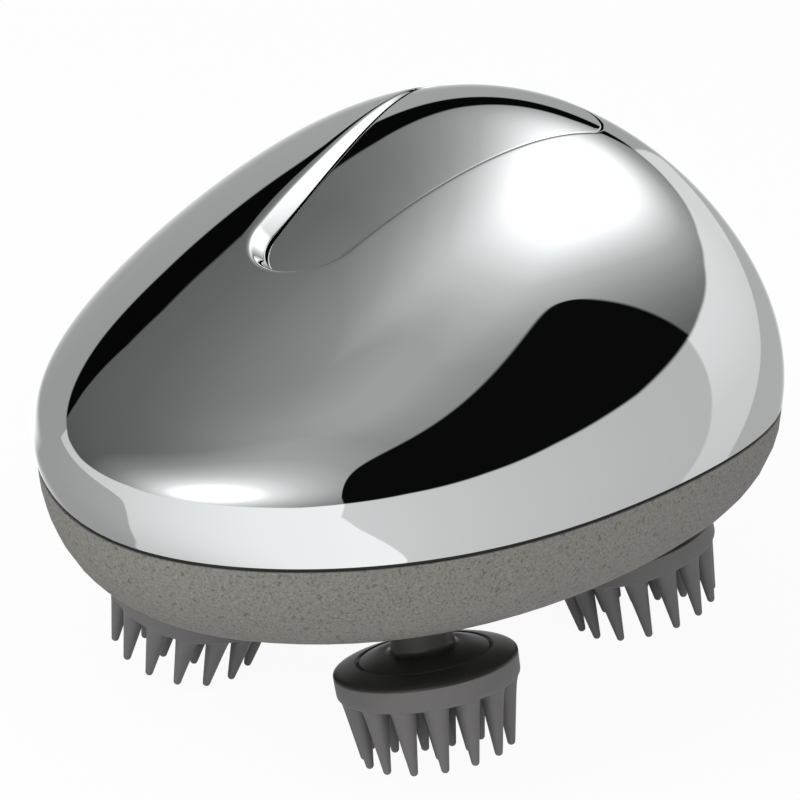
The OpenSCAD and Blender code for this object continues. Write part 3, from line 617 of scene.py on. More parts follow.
FINISHES = {
    "chrome": MirrorChrome(),
    "speckled": SpeckledPlastic(),
    "seam_rubber": Moulded("seam_rubber", (0.010, 0.010, 0.010), 0.6),
    "cup_black": Moulded("gloss_black_cup", (0.021, 0.021, 0.019), 0.3, bump=0.0),
    "silicone": Moulded("grey_silicone", (0.108, 0.104, 0.104), 0.5, sheen=0.1),
    "tray_grey": Moulded("tray_grey", (0.05, 0.05, 0.052), 0.6),
    "steel": Moulded("ground_steel", (0.50, 0.50, 0.51), 0.28, metallic=1.0, scale=3000.0),
    "zinc_screw": Moulded("plated_screws", (0.46, 0.46, 0.47), 0.35, metallic=1.0),
    "acetal": Moulded("gear_acetal", (0.70, 0.66, 0.56), 0.45),
    "plate_black": Moulded("filled_nylon", (0.022, 0.022, 0.024), 0.55),
    "gearbox_metal": Moulded("die_cast_zinc", (0.42, 0.42, 0.43), 0.42, metallic=1.0),
    "motor_can": Moulded("drawn_can", (0.52, 0.53, 0.54), 0.30, metallic=1.0),
    "bronze": Moulded("sintered_bronze", (0.42, 0.26, 0.10), 0.45, metallic=1.0, tone=0.2),
    "seal_rubber": Moulded("seal_rubber", (0.012, 0.012, 0.012), 0.7),
    "cell_wrap": Moulded("cell_wrap", (0.02, 0.07, 0.22), 0.3, coat=0.4),
    "board": Moulded("solder_mask", (0.010, 0.09, 0.025), 0.35, coat=0.3),
    "switch_black": Moulded("switch_black", (0.02, 0.02, 0.02), 0.5),
    "cushion_silicone": Moulded("cushion_silicone", (0.34, 0.34, 0.34), 0.5, sheen=0.1),
}


class FinishKit:
    """Builds the shared node groups and every finish once."""

    def __init__(self) -> None:
        """Builds the groups and the materials."""
        self.grain = build_grain_group()
        self.speckles = build_speckle_group()
        self.materials = {slot: finish.make(self) for slot, finish in FINISHES.items()}

    def dress(self, piece: bpy.types.Object, slot: str) -> None:
        """Gives a piece its finish."""
        piece.data.materials.clear()
        piece.data.materials.append(self.materials[slot])


# ---------------------------------------------------------------- sub-assemblies


def tube(centre: tuple[float, float], low: float, high: Points | float, outer_r: float,
         bore_r: float = 0.0, bore_l: float = 0.0, count: int = 48) -> list[Points]:
    """Rings of a closed upright post, from its bore's floor round to its top.

    Args:
        centre: Axis in plan.
        low: Height of its foot.
        high: Height of its top, one value or one per point round it.
        outer_r: Outer radius.
        bore_r: Radius of the bore from below, or 0.
        bore_l: Depth of that bore.
        count: Points round it.

    Returns:
        Rings of shape (count, 3), in order.
    """
    rings = []
    if bore_r > 0:
        bore = circle(bore_r, count, centre)
        rings += [ring_of(bore, low + bore_l), ring_of(bore, low)]
    wall = circle(outer_r, count, centre)
    return rings + [ring_of(wall, low), ring_of(wall, high)]


def blend(before: Points, corner: Points, after: Points, steps: int) -> Points:
    """Rounds a corner line: parabolas from before to after with corner as control."""
    t = np.linspace(0, 1, steps + 1)[None, :, None]
    return ((1 - t) ** 2 * before[:, None] + 2 * t * (1 - t) * corner[:, None]
            + t ** 2 * after[:, None])


def straight(before: Points, after: Points, steps: int) -> Points:
    """Straight lines from before to after, as a grid."""
    t = np.linspace(0, 1, steps + 1)[None, :, None]
    return before[:, None] * (1 - t) + after[:, None] * t


def unit(v: Points) -> Points:
    """Vectors scaled to length 1."""
    return v / np.linalg.norm(v, axis=-1, keepdims=True)


@dataclass
class Shell:
    """The chrome dome: outer skin, rounded edge, sloping lip, inner skin and bosses."""

    body: BodyForm
    petal: PetalForm
    rings: int = 96
    inner_rings: int = 12
    edge_r: float = 0.55
    edge_growth: float = 0.7
    bevel_share: float = 0.66
    spread: float = 0.55
    flank_l: float = 22.0
    deepest: float = 3.0
    boss_places: tuple[tuple[float, float], ...] = ((0, -38), (37.3, 27), (-37.3, 27))
    boss_r: float = 2.7
    pilot_r: float = 1.1
    pilot_l: float = 8.0

    def annulus(self, inset: float, loop: Points, rings: int) -> Points:
        """Grid of the dome between a loop over it and the seam.

        Each loop point is taken to the unit sphere, and great-circle arcs lead from
        there to the seam in the same plan direction, so every point lies on the dome.

        Args:
            inset: Distance by which the dome is drawn in.
            loop: Plan points of the inner loop.
            rings: Steps from the loop to the seam.

        Returns:
            Grid of shape (len(loop), rings + 1, 3).
        """
        uv, _ = self.body.over(loop, inset)
        middle = np.array([0.0, 0.12])
        ray = unit(uv - middle)
        along = ray @ middle
        reach = -along + np.sqrt(along ** 2 + 1 - middle @ middle)
        rim = middle + ray * reach[:, None]
        top = np.column_stack([uv, np.sqrt(1 - (uv ** 2).sum(1))])
        low = np.column_stack([rim, np.zeros(len(rim))])
        arc = np.arccos(np.clip((top * low).sum(1), -1, 1))[:, None, None]
        t = np.linspace(0, 1, rings + 1)[None, :, None]
        path = np.sin((1 - t) * arc) * top[:, None] + np.sin(t * arc) * low[:, None]
        path /= np.sin(arc)
        return self.body.dome(path[..., 0], path[..., 1], inset)

    def build(self) -> bpy.types.Object:
        """Builds the dome as one closed skin, and its three bosses.

        The lip runs from the opening's edge down to its foot beside the petal. Along
        the left flank its edge lies further out, by spread times the depth, and is
        rounder, by edge_growth times the depth. At the tip and on the right it slopes
        over bevel_share of its depth and then drops upright.
        """
        edge, out = self.petal.edge()
        plan, height = self.petal.lip()
        foot = ring_of(plan, height)
        depth = np.clip(self.body.over(edge)[1][:, 2] - height, 0, self.deepest)[:, None]
        flank = np.clip((edge[:, 1:] - self.petal.tip_y) / self.flank_l, 0, 1)
        flank = np.where(edge[:, :1] < 0, flank * flank * (3 - 2 * flank), 0)
        corner = self.body.over(edge + self.spread * flank * depth * out)[1]
        start = corner[:, :2] + (self.edge_r + self.edge_growth * flank * depth) * out
        share = self.bevel_share + (1 - self.bevel_share) * flank
        bevel = foot + (1 - share) * np.maximum(corner - foot, 0) * [0, 0, 1]
        bevel_l = np.linalg.norm(bevel - corner, axis=1)[:, None]
        along = (bevel - corner) / np.maximum(bevel_l, 1e-6)
        turn = corner + np.minimum(self.edge_r, 0.4 * bevel_l) * along
        bend = np.minimum(0.2, 0.3 * np.minimum(bevel_l, np.maximum(bevel - foot, 1e-3)[:, 2:]))
        bend_back, bend_on = -bend * along, -bend * [0, 0, 1]
        inner_plan = plan + self.petal.lip_thickness * out
        inner = self.annulus(self.body.wall, inner_plan, self.inner_rings)
        under = np.minimum(height - self.petal.lip_foot,
                           self.body.over(plan, self.body.wall)[1][:, 2])
        behind = np.minimum(under, inner[:, 0, 2])
        outer = self.annulus(0.0, start, self.rings)
        path = np.concatenate([
            outer[:, ::-1],
            blend(outer[:, 0], corner, turn, 8)[:, 1:],
            straight(turn, bevel, 4)[:, 1:-1],
            blend(bevel + bend_back, bevel, bevel + bend_on, 5),
            foot[:, None],
            ring_of(plan, under)[:, None],
            ring_of(inner_plan, behind)[:, None],
            inner,
            outer[:, -1:]], axis=1)
        skin = Skin("chrome_dome").grid(path)
        low = self.body.seam_z + self.body.gasket / 2
        for place in self.boss_places:
            top = self.body.over(circle(self.boss_r, 48, place), self.body.wall / 2)[1][:, 2]
            post = tube(place, low, top, self.boss_r, self.pilot_r, self.pilot_l)
            skin.grid(np.stack(post, 1), start=Cap.FAN, end=Cap.FAN)
        return skin.build()


@dataclass
class PetalKey:
    """The petal that is pressed, with its plunger and its two ears."""

    body: BodyForm
    petal: PetalForm
    across: int = 56
    edge_r: float = 0.3
    plunger_y: float = -19.0
    plunger_r: float = 1.8
    ear_x: float = 9.6
    ear_t: float = 2.4
    ear_r: float = 1.8
    ear_rise: float = 3.2

    def ear(self, side: int) -> Points:
        """One ear: a plate with a round foot about the pin, closed at both faces."""
        y0, z0 = self.petal.hinge
        bend = np.linspace(np.pi, 2 * np.pi, 25)
        y = np.concatenate([y0 + self.ear_r * np.cos(bend), [y0 + self.ear_r, y0 - self.ear_r]])
        z = np.concatenate([z0 + self.ear_r * np.sin(bend), [z0 + self.ear_rise] * 2])
        inner = side * self.ear_x - self.ear_t / 2
        faces = [np.column_stack([np.full(len(y), x), y, z]) for x in (inner, inner + self.ear_t)]
        return np.stack(faces, 1)

    def build(self) -> bpy.types.Object:
        """Builds the petal: its top follows the dipped dome inside the lip."""
        _, out = self.petal.edge()
        plan, _ = self.petal.lip()
        rim = plan - self.petal.gap * out
        middle = np.array([0.0, self.petal.tip_y + self.petal.length * 0.55])
        start = rim - self.edge_r * out
        t = np.linspace(0, 1, self.across + 1)[1:]
        fan = (middle + (start - middle)[:, None] * t[None, :, None])
        flat = fan.reshape(-1, 2)
        top = self.body.over(flat, 0.0, self.petal.dipped)[1].reshape(*fan.shape[:2], 3)
        low = self.body.over(flat, self.petal.thickness, self.petal.dipped)[1]
        low = low.reshape(*fan.shape[:2], 3)
        corner = self.body.over(rim, 0.0, self.petal.dipped)[1]
        foot = self.body.over(rim, self.petal.thickness, self.petal.dipped)[1]
        side = corner - [0, 0, self.edge_r]
        path = np.concatenate([
            top, blend(top[:, -1], corner, side, 6)[:, 1:], foot[:, None], low[:, ::-1]], axis=1)
        skin = Skin("petal_key").grid(path, start=Cap.FAN, end=Cap.FAN, flip=True)
        place = (0.0, self.plunger_y)
        reach = self.body.over(circle(self.plunger_r, 48, place), self.petal.thickness / 2,
                               self.petal.dipped)[1][:, 2]
        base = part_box("power_key")[0].z / MM
        skin.grid(np.stack(tube(place, base, reach, self.plunger_r), 1),
                  start=Cap.FAN, end=Cap.FAN)
        for sign in (-1, 1):
            skin.grid(self.ear(sign), start=Cap.FAN, end=Cap.FAN)
        return skin.build()


def smooth_copy(node: str, name: str, angle: float = 32.0) -> bpy.types.Object:
    """Copies a CAD node, merges its doubled points and smooths its shading.

    Args:
        node: Name of the node.
        name: Name of the copy.
        angle: Angle in degrees above which an edge stays sharp.

    Returns:
        The copy, at the origin and unparented.
    """
    mesh = frame["nodes"][node].data.copy()
    work = bmesh.new()
    work.from_mesh(mesh)
    bmesh.ops.remove_doubles(work, verts=work.verts, dist=1e-6)
    bmesh.ops.recalc_face_normals(work, faces=work.faces)
    work.to_mesh(mesh)
    work.free()
    mesh.shade_smooth()
    mesh.set_sharp_from_angle(angle=math.radians(angle))
    made = bpy.data.objects.new(name, mesh)
    bpy.context.scene.collection.objects.link(made)
    return made


@dataclass
class Head:
    """One kneading head: a glossy cup on its bent spindle and a silicone pad."""

    number: int
    lean: float
    pad_turn: float
    tilt: float = 15.5
    depth: float = 9.5
    cup_r: float = 14.7
    band_h: float = 3.9
    spindle_r: float = 2.0
    tine_l: float = 10.7
    root_r: float = 2.0
    tip_r: float = 0.65
    root_flare: float = 0.2
    flare_l: float = 0.8
    outer_tines: int = 15
    middle_tines: int = 8
    inner_tines: int = 3
    edge_margin: float = 2.3
    root_sink: float = 0.3
    seat: float = 0.02

    @property
    def pivot(self) -> Points:
        """Tilt point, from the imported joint."""
        joint = next(j for j in frame["joints"] if j["name"] == f"head_{self.number}_spin")
        return np.array(joint["pos_m"]) / MM

    def placed(self, points: Points) -> Points:
        """Tilts points about the tilt point and moves them to the spindle."""
        turn = Matrix.Rotation(math.radians(self.lean), 3, "Z") \
            @ Matrix.Rotation(math.radians(-self.tilt), 3, "Y")
        return points @ np.array(turn).T + self.pivot

    def cup(self) -> bpy.types.Object:
        """Builds the cup: a neck, a low mound, a groove and a brim down to the rim."""
        r, neck, groove = self.cup_r, self.spindle_r + 3.0, self.cup_r * 0.72
        bore, plug, rim = self.spindle_r + self.seat, self.cup_r * 0.55 + 0.1, -self.depth
        profile = round_profile([
            (bore, rim + 1.0, 0), (bore, -1.4, 0), (self.spindle_r + 1.1, -0.9, 0.2),
            (self.spindle_r + 1.1, 0.2, 0.2), (neck, 0.2, 0.4), (neck + 0.1, rim + 3.1, 0.5),
            (neck + 0.6, rim + 2.6, 0.4), (r * 0.5, rim + 2.35, 0.8), (r * 0.6, rim + 2.0, 0.8),
            (groove - 0.3, rim + 1.5, 0.15), (groove, rim + 1.1, 0.12),
            (groove + 0.3, rim + 1.5, 0.15), (r * 0.87, rim + 1.05, 0.8),
            (r * 0.96, rim + 0.6, 0.5), (r * 0.995, rim + 0.25, 0.2), (r, rim, 0),
            (plug, rim, 0), (plug, rim + 1.0, 0), (bore, rim + 1.0, 0)])
        skin = Skin(f"cup_{self.number}")
        skin.grid(self.placed(revolve(profile, 144)))
        return skin.build(sharp=38)

    def tine(self, turn: float, root_ring: float, tip_ring: float, length: float) -> Points:
        """Grid of one tine: a cone with a flared root and a rounded tip, leaning inward.

        The radius falls evenly from root to tip, and exp(-depth / flare_l) widens the
        root where it grows out of the band.
        """
        s = np.concatenate([[-0.04, 0, 0.02, 0.05, 0.09], np.linspace(0.14, 1, 9)])
        bend = np.linspace(0, np.pi / 2, 7)[1:]
        flare = self.root_flare * np.exp(-np.maximum(s, 0) * length / self.flare_l)
        cone_r = self.tip_r + (self.root_r - self.tip_r) * (1 - s) + flare
        cone_z = -s * (length - self.tip_r)
        tip_r = self.tip_r * np.cos(bend)
        tip_z = -(length - self.tip_r) - self.tip_r * np.sin(bend)
        profile = np.column_stack([np.concatenate([cone_r, tip_r]),
                                   np.concatenate([cone_z, tip_z])])
        profile[-1, 0] = 1e-4
        points = revolve(profile, 28)
        lean = math.atan2(root_ring - tip_ring, length)
        points = points @ np.array(Matrix.Rotation(lean, 3, "Y")).T + [root_ring, 0, 0]
        return points @ np.array(Matrix.Rotation(math.radians(turn), 3, "Z")).T

    def pad(self) -> bpy.types.Object:
        """Builds the pad: plug, band with a rounded foot, and its tines."""
        r, plug = self.cup_r, self.cup_r * 0.55
        top, rim = -self.depth + 0.95, -self.depth - 0.05
        low = -self.depth - self.band_h
        profile = round_profile([
            (1e-3, top, 0), (plug, top, 0.1), (plug, rim, 0), (r, rim, 0.25),
            (r - 0.1, low + 0.6, 0.3), (r - 0.9, low, 0.8), (1e-3, low, 0)])
        skin = Skin(f"pad_{self.number}")
        skin.grid(self.placed(revolve(profile, 128)), flip=True)
        ring, long, short = r - self.edge_margin, self.tine_l + 0.3, self.tine_l - 0.3
        base = np.array([0, 0, low + self.root_sink])
        layout = [(180 + self.pad_turn + 360 * k / self.outer_tines, ring - 0.2, ring - 0.6, long)
                  for k in range(self.outer_tines)]
        layout += [(360 * k / self.middle_tines + 12, ring * 0.56, ring * 0.55, short)
                   for k in range(self.middle_tines)]
        layout += [(360 * k / self.inner_tines + 30, ring * 0.2, ring * 0.2, short)
                   for k in range(self.inner_tines)]
        for spot in layout:
            skin.grid(self.placed(self.tine(*spot) + base), flip=True, start=Cap.FAN, end=Cap.FAN)
        return skin.build(sharp=50)


@dataclass
class Seam:
    """The dark gasket between dome and housing."""

    body: BodyForm
    back: float = 0.35
    around: int = 360

    def build(self) -> bpy.types.Object:
        """Builds the gasket as a square section carried round the seam."""
        t = np.linspace(0, 2 * np.pi, self.around, endpoint=False)
        loops = []
        for inset, side in ((self.back, -1), (self.back, 1), (self.body.wall, 1),
                            (self.body.wall, -1), (self.back, -1)):
            p = self.body.dome(np.cos(t), np.sin(t), inset)
            p[:, 2] = self.body.seam_z + side * self.body.gasket / 2
            loops.append(p)
        return Skin("seam_line").grid(np.stack(loops, 1)).build()


# ---------------------------------------------------------------- studio


@dataclass(frozen=True)
class CameraPlace:
    """The photograph's camera, found from the seam, the dome and the heads."""

    azimuth: float = 38.0
    elevation: float = 24.95
    distance: float = 500.0
    focal_px: float = 3104.7
    centre_px: tuple[float, float] = (376.7, 407.8)
    frame_px: float = 800.0

    def build(self, body: BodyForm) -> bpy.types.Object:
        """Places the camera, aimed at the middle of the seam."""
        az, el = math.radians(self.azimuth), math.radians(self.elevation)
        back = Vector((math.sin(az) * math.cos(el), -math.cos(az) * math.cos(el), math.sin(el)))
        aim = Vector((0, body.plan_shift, body.seam_z)) * MM
        data = bpy.data.cameras.new("camera")
        data.sensor_width = 36.0
        data.lens = self.focal_px / self.frame_px * data.sensor_width
        data.shift_x = (self.frame_px / 2 - self.centre_px[0]) / self.frame_px
        data.shift_y = (self.centre_px[1] - self.frame_px / 2) / self.frame_px
        data.clip_start = 0.01
        made = bpy.data.objects.new("camera", data)
        made.location = aim + back * self.distance * MM
        made.rotation_euler = back.to_track_quat("Z", "Y").to_euler()
        bpy.context.scene.collection.objects.link(made)
        bpy.context.scene.camera = made
        return made


Curve = Sequence[tuple[float, float]]
Socket = bpy.types.NodeSocket


def grey(shade: float) -> float:
    """Linear level of a display grey from 0 to 255."""
    share = shade / 255
    return share / 12.92 if share <= 0.04045 else ((share + 0.055) / 1.055) ** 2.4


@dataclass(frozen=True)
class SoftLamp:
    """A soft lamp of the surroundings, placed and sized in degrees.

    Its middle line climbs by lean for each degree aside. It reaches rise above that
    line, or up to a level top edge where rise is None, and fall below it. The curve
    fade gives its light over the share of its extent.
    """

    middle: float
    breadth: float
    height: float
    lean: float
    rise: float | None
    fall: float
    fade: Curve
    level_top: float = 72.0


@dataclass(frozen=True)
class BlackCard:
    """The flag on the right: its sides in azimuth, and its top edge in elevation.

    The top edge drops steeply towards the left corner and rounds off on the right.
    """

    left: float = 57.0
    right: float = 139.5
    top: float = 56.5
    left_drop: float = 36.5
    left_pull: float = 0.25
    right_drop: float = 18.0
    right_pull: float = 2.86
    inset: float = 0.5


class Sky:
    """The studio round the object, as the mirror chrome shows it.

    Directions are given by azimuth, 0 towards the nose and 90 to the right, and by
    elevation. The camera sees plain white, gloss sees the studio, and all other light
    is an even level. The studio is a pale ground with a few panels, grey walls above
    its horizon, a soft lamp ahead, a soft lamp high up behind, and two black flags.
    """

    HORIZON: Curve = (
        (-180, 17), (-170, 13.5), (-163, 12), (-157, 13.5), (-150, 14), (-140, 15), (-125, 18),
        (-115, 17), (-108, 14.5), (-100, 12.5), (-90, 10), (-80, 8), (-65, 8.5), (-50, 11),
        (-30, 14), (0, 14.5), (30, 15.5), (45, 16), (58, 18.5), (75, 21.5), (95, 23),
        (110, 23), (125, 21.5), (145, 23.3), (160, 23), (170, 21), (180, 17))
    LEFT_WALL: Curve = ((8, 84), (20, 90), (45, 98), (60, 109), (80, 129), (90, 138))
    RIGHT_WALL: Curve = ((20, 96), (45, 128), (60, 147), (68, 160), (76, 160), (90, 140))
    RIGHT_WALL_AZ = 108.0
    LAMPS = (
        SoftLamp(13, 54, 26, 0.17, 32.0, 23.0, (
            (0, 1.3), (0.3, 1.1), (0.44, 0.66), (0.63, 0.39), (0.81, 0.23), (1, 0.11),
            (1.35, 0))),
        SoftLamp(180, 40, 46, -0.3, None, 27.0, (
            (0, 1.3), (0.5, 0.95), (0.65, 0.64), (0.75, 0.46), (0.9, 0.26), (1.1, 0.13),
            (1.3, 0.05), (1.55, 0))),
    )
    CARD = BlackCard()
    HOOD_TOP: Curve = (
        (-166, 12), (-163, 17), (-158, 20.5), (-150, 22), (-140, 24.5), (-128, 29.5),
        (-115, 31.5), (-108, 31), (-103, 28.5), (-97, 22), (-92, 16), (-88, 8))
    CARD_GREY, HOOD_GREY, PATCH_GREY = 10, 7, 173
    GROUND: Curve = (
        (-180, 215), (-150, 215), (-84, 198), (-60, 202), (-30, 212), (-10, 220),
        (10, 230), (30, 238), (58, 243), (60, 243))

    def __init__(self) -> None:
        """Builds the world's node tree."""
        world = bpy.data.worlds.new("studio")
        bpy.context.scene.world = world
        world.use_nodes = True
        self.tree = world.node_tree
        self.tree.nodes.clear()
        place = self._node("ShaderNodeTexCoord")
        split = self._node("ShaderNodeSeparateXYZ")
        link(self.tree, place.outputs["Generated"], split.inputs[0])
        self.az = self._degrees(self._math("ARCTAN2", split.outputs["X"],
                                           self._math("MULTIPLY", split.outputs["Y"], -1.0)))
        self.el = self._degrees(self._math("ARCSINE", split.outputs["Z"]))

    def _node(self, kind: str) -> bpy.types.Node:
        """Adds a node."""
        return self.tree.nodes.new(kind)

    def _math(self, operation: str, *values: object) -> Socket:
        """Adds a Math node and returns its output."""
        made = self._node("ShaderNodeMath")
        made.operation = operation
        for socket, value in zip(made.inputs, values):
            if isinstance(value, Socket):
                link(self.tree, value, socket)
            else:
                socket.default_value = value
        return made.outputs[0]

    def _degrees(self, angle: Socket) -> Socket:
        """Turns radians into degrees."""
        return self._math("MULTIPLY", angle, 180 / math.pi)

    def ramp(self, value: Socket, low: float, high: float, at_low: float = 0.0,
             at_high: float = 1.0, smooth: bool = True) -> Socket:
        """Maps a value from low..high to at_low..at_high, held outside."""
        made = self._node("ShaderNodeMapRange")
        made.interpolation_type = "SMOOTHSTEP" if smooth else "LINEAR"
        link(self.tree, value, made.inputs["Value"])
        for name, number in (("From Min", low), ("From Max", high),
                             ("To Min", at_low), ("To Max", at_high)):
            made.inputs[name].default_value = number
        return made.outputs["Result"]

    def curve(self, value: Socket, points: Curve,
              shades: bool = False) -> Socket:
        """Joins points by straight lines and reads them off at a value.

        Args:
            value: Where to read.
            points: Pairs of value and result, in rising order.
            shades: Whether the results are display greys, to be made linear.

        Returns:
            The result, held beyond both ends.
        """
        across = [x for x, _ in points]
        up = [grey(y) if shades else float(y) for _, y in points]
        low, span = min(up), (max(up) - min(up)) or 1.0
        made = self._node("ShaderNodeFloatCurve")
        line = made.mapping.curves[0]
        where = [(x - across[0]) / (across[-1] - across[0]) for x in across]
        for _ in points[2:]:
            line.points.new(0.5, 0.5)
        for point, x, y in zip(line.points, where, up):
            point.location = (x, (y - low) / span)
            point.handle_type = "VECTOR"
        made.mapping.update()
        share = self.ramp(value, across[0], across[-1], smooth=False)
        link(self.tree, share, made.inputs["Value"])
        return self._math("MULTIPLY_ADD", made.outputs[0], span, low)

    def mix(self, mask: Socket, a: object, b: object) -> Socket:
        """Level a where the mask is 0 and b where it is 1."""
        made = self._node("ShaderNodeMix")
        made.data_type = "FLOAT"
        link(self.tree, mask, made.inputs["Factor"])
        for socket, value in ((made.inputs["A"], a), (made.inputs["B"], b)):
            if isinstance(value, Socket):
                link(self.tree, value, socket)
            else:
                socket.default_value = value
        return made.outputs["Result"]

    def past(self, value: Socket, edge: object,
             soft: float = 0.8) -> Socket:
        """1 where a value lies past an edge, over a transition soft degrees wide."""
        return self.ramp(self._math("SUBTRACT", value, edge), -soft / 2, soft / 2)

    def both(self, *masks: Socket) -> Socket:
        """Product of masks."""
        whole = masks[0]
        for mask in masks[1:]:
            whole = self._math("MULTIPLY", whole, mask)
        return whole

    def without(self, mask: Socket) -> Socket:
        """1 less a mask."""
        return self._math("SUBTRACT", 1.0, mask)

    def radius(self, far: object, high: object, power: float = 2.0) -> Socket:
        """Radius of two shares: (|far|^power + |high|^power)^(1/power)."""
        terms = [self._math("POWER", self._math("ABSOLUTE", share), power)
                 for share in (far, high)]
        return self._math("POWER", self._math("ADD", *terms), 1 / power)

    def aside(self, middle: float) -> Socket:
        """Azimuth from a middle, -180 to 180."""
        return self._math("WRAP", self._math("SUBTRACT", self.az, middle), 180.0, -180.0)

    def oval(self, middle: float, height: object, breadth: float, rise: float) -> Socket:
        """Share of an oval's extent: 0 at its middle and 1 on its edge.

        Args:
            middle: Azimuth of its middle.
            height: Elevation of its middle.
            breadth: Half breadth.
            rise: Half height.

        Returns:
            The share.
        """
        return self.radius(self._math("DIVIDE", self.aside(middle), breadth),
                           self._math("DIVIDE", self._math("SUBTRACT", self.el, height), rise))

    def lamp(self, light: SoftLamp) -> Socket:
        """Level that a soft lamp adds."""
        aside = self.aside(light.middle)
        centre = self._math("MULTIPLY_ADD", aside, light.lean, light.height)
        over = self._math("SUBTRACT", self.el, centre)
        above = light.rise if light.rise is not None else self._math(
            "MAXIMUM", self._math("SUBTRACT", light.level_top, centre), 5.0)
        extent = self.mix(self._math("GREATER_THAN", over, 0.0), light.fall, above)
        share = self.radius(self._math("DIVIDE", aside, light.breadth),
                            self._math("DIVIDE", over, extent))
        return self.curve(share, light.fade)

    def card(self, card: BlackCard) -> Socket:
        """Mask of the right flag."""
        past_left = self._math("MAXIMUM", self._math("SUBTRACT", self.az, card.left), 0.0)
        before_right = self._math("MAXIMUM", self._math("SUBTRACT", card.right, self.az), 0.0)
        left_drop = self._math("DIVIDE", card.left_drop,
                               self._math("MULTIPLY_ADD", past_left, card.left_pull, 1.0))
        right_drop = self._math("DIVIDE", card.right_drop,
                                self._math("MULTIPLY_ADD", before_right, card.right_pull, 1.0))
        top = self._math("SUBTRACT", self._math("SUBTRACT", card.top, left_drop), right_drop)
        return self.both(self.without(self.past(self.el, top, 1.0)),
                         self.past(self.az, card.left + card.inset),
                         self.without(self.past(self.az, card.right - card.inset)))

    def walls(self) -> Socket:
        """Everything above the horizon: walls, lamps and the two black flags."""
        far_right = self._math("ABSOLUTE", self.aside(self.RIGHT_WALL_AZ))
        wall = self.mix(self.ramp(far_right, 10, 180, 1.0, 0.0),
                        self.curve(self.el, self.LEFT_WALL, True),
                        self.curve(self.el, self.RIGHT_WALL, True))
        for light in self.LAMPS:
            wall = self._math("ADD", wall, self.lamp(light))
        wall = self.mix(self.card(self.CARD), wall, grey(self.CARD_GREY))
        hood_top = self.curve(self.az, self.HOOD_TOP)
        hood = self.both(self.without(self.past(self.el, hood_top, 1.4)),
                         self.past(self.az, self.HOOD_TOP[0][0]),
                         self.without(self.past(self.az, self.HOOD_TOP[-1][0])))
        return self.mix(hood, wall, grey(self.HOOD_GREY))

    def ground(self) -> Socket:
        """Everything below the horizon: the pale ground and the panels that stand on it."""
        low = self.curve(self.az, self.GROUND, True)
        right_edge = self.curve(self.el, ((-60, 73), (-45, 71.5), (-10, 59), (5, 55.5), (20, 58)))
        side = self.curve(self.az, ((58, 207), (130, 182)), True)
        low = self.mix(self.past(self.az, right_edge), low, side)
        back_edge = self.curve(self.el, ((-25, 131.5), (0, 134), (22, 138)))
        back = self.curve(self.el, ((-25, 200), (0, 206), (20, 221)), True)
        low = self.mix(self.past(self.az, back_edge), low, back)
        patch = self.oval(177.5, -25.0, 34.0, 28.0)
        low = self.mix(self.ramp(patch, 0.98, 1.02, 1.0, 0.0), low, grey(self.PATCH_GREY))
        # The left panel: its front edge bulges, more sharply above than below.
        bulge = self._math("MAXIMUM", self._math("ADD", self.az, 75.0), 0.0)
        share = self._math("DIVIDE", bulge, 45.0)
        over = self._math("ADD", self.el, 15.0)
        upper = self.radius(share, self._math("DIVIDE", over, 17.0), 3.0)
        lower = self.radius(share, self._math("DIVIDE", over, 42.0))
        panel = self.mix(self.past(self.el, -15.0, 0.1), lower, upper)
        panel = self.both(self.ramp(panel, 0.985, 1.015, 1.0, 0.0), self.past(self.az, -88.0, 2.0),
                          self.without(self.past(self.az, -20.0)))
        low = self.mix(panel, low, self.curve(self.az, ((-90, 154), (-60, 160), (-30, 168)), True))
        start = self.curve(self.el, ((-25, -150), (0, -160), (12, -165)))
        behind = self.both(self.past(self.az, start), self.without(self.past(self.az, -85.0)))
        low = self.mix(behind, low, self.curve(self.az, (
            (-160, 162), (-130, 160), (-110, 153), (-87, 154)), True))
        # Light that spills over the floor behind to the left.
        spill = self.oval(-143.0, -27.0, 21.0, 17.0)
        low = self._math("ADD", low, self.ramp(spill, 0.2, 1.6, 0.5, 0.0))
        beam_el = self._math("MULTIPLY_ADD", self._math("ADD", self.az, 123.0), 0.25, -22.0)
        beam = self.oval(-123.0, beam_el, 13.0, 4.0)
        return self._math("ADD", low, self.ramp(beam, 0.2, 1.7, 0.7, 0.0))

    def finish(self, level: float) -> None:
        """Joins the parts into the world's colour.

        Args:
            level: Strength of the even light on matte surfaces.
        """
        horizon = self.curve(self.az, self.HORIZON)
        studio = self.mix(self.past(self.el, horizon, 1.2), self.ground(), self.walls())
        path = self._node("ShaderNodeLightPath")
        sharp = self._math("MAXIMUM", path.outputs["Is Glossy Ray"],
                           path.outputs["Is Transmission Ray"])
        shade = self.mix(sharp, level, studio)
        shade = self.mix(path.outputs["Is Camera Ray"], shade, 1.0)
        background = self._node("ShaderNodeBackground")
        background.inputs["Color"].default_value = (1, 1, 1, 1)
        link(self.tree, shade, background.inputs["Strength"])
        out = self._node("ShaderNodeOutputWorld")
        link(self.tree, background.outputs[0], out.inputs["Surface"])


@dataclass(frozen=True)
class SquareLamp:
    """A soft square lamp: place and side in millimetres, power in watts."""

    name: str
    place: tuple[float, float, float]
    side: float
    power: float


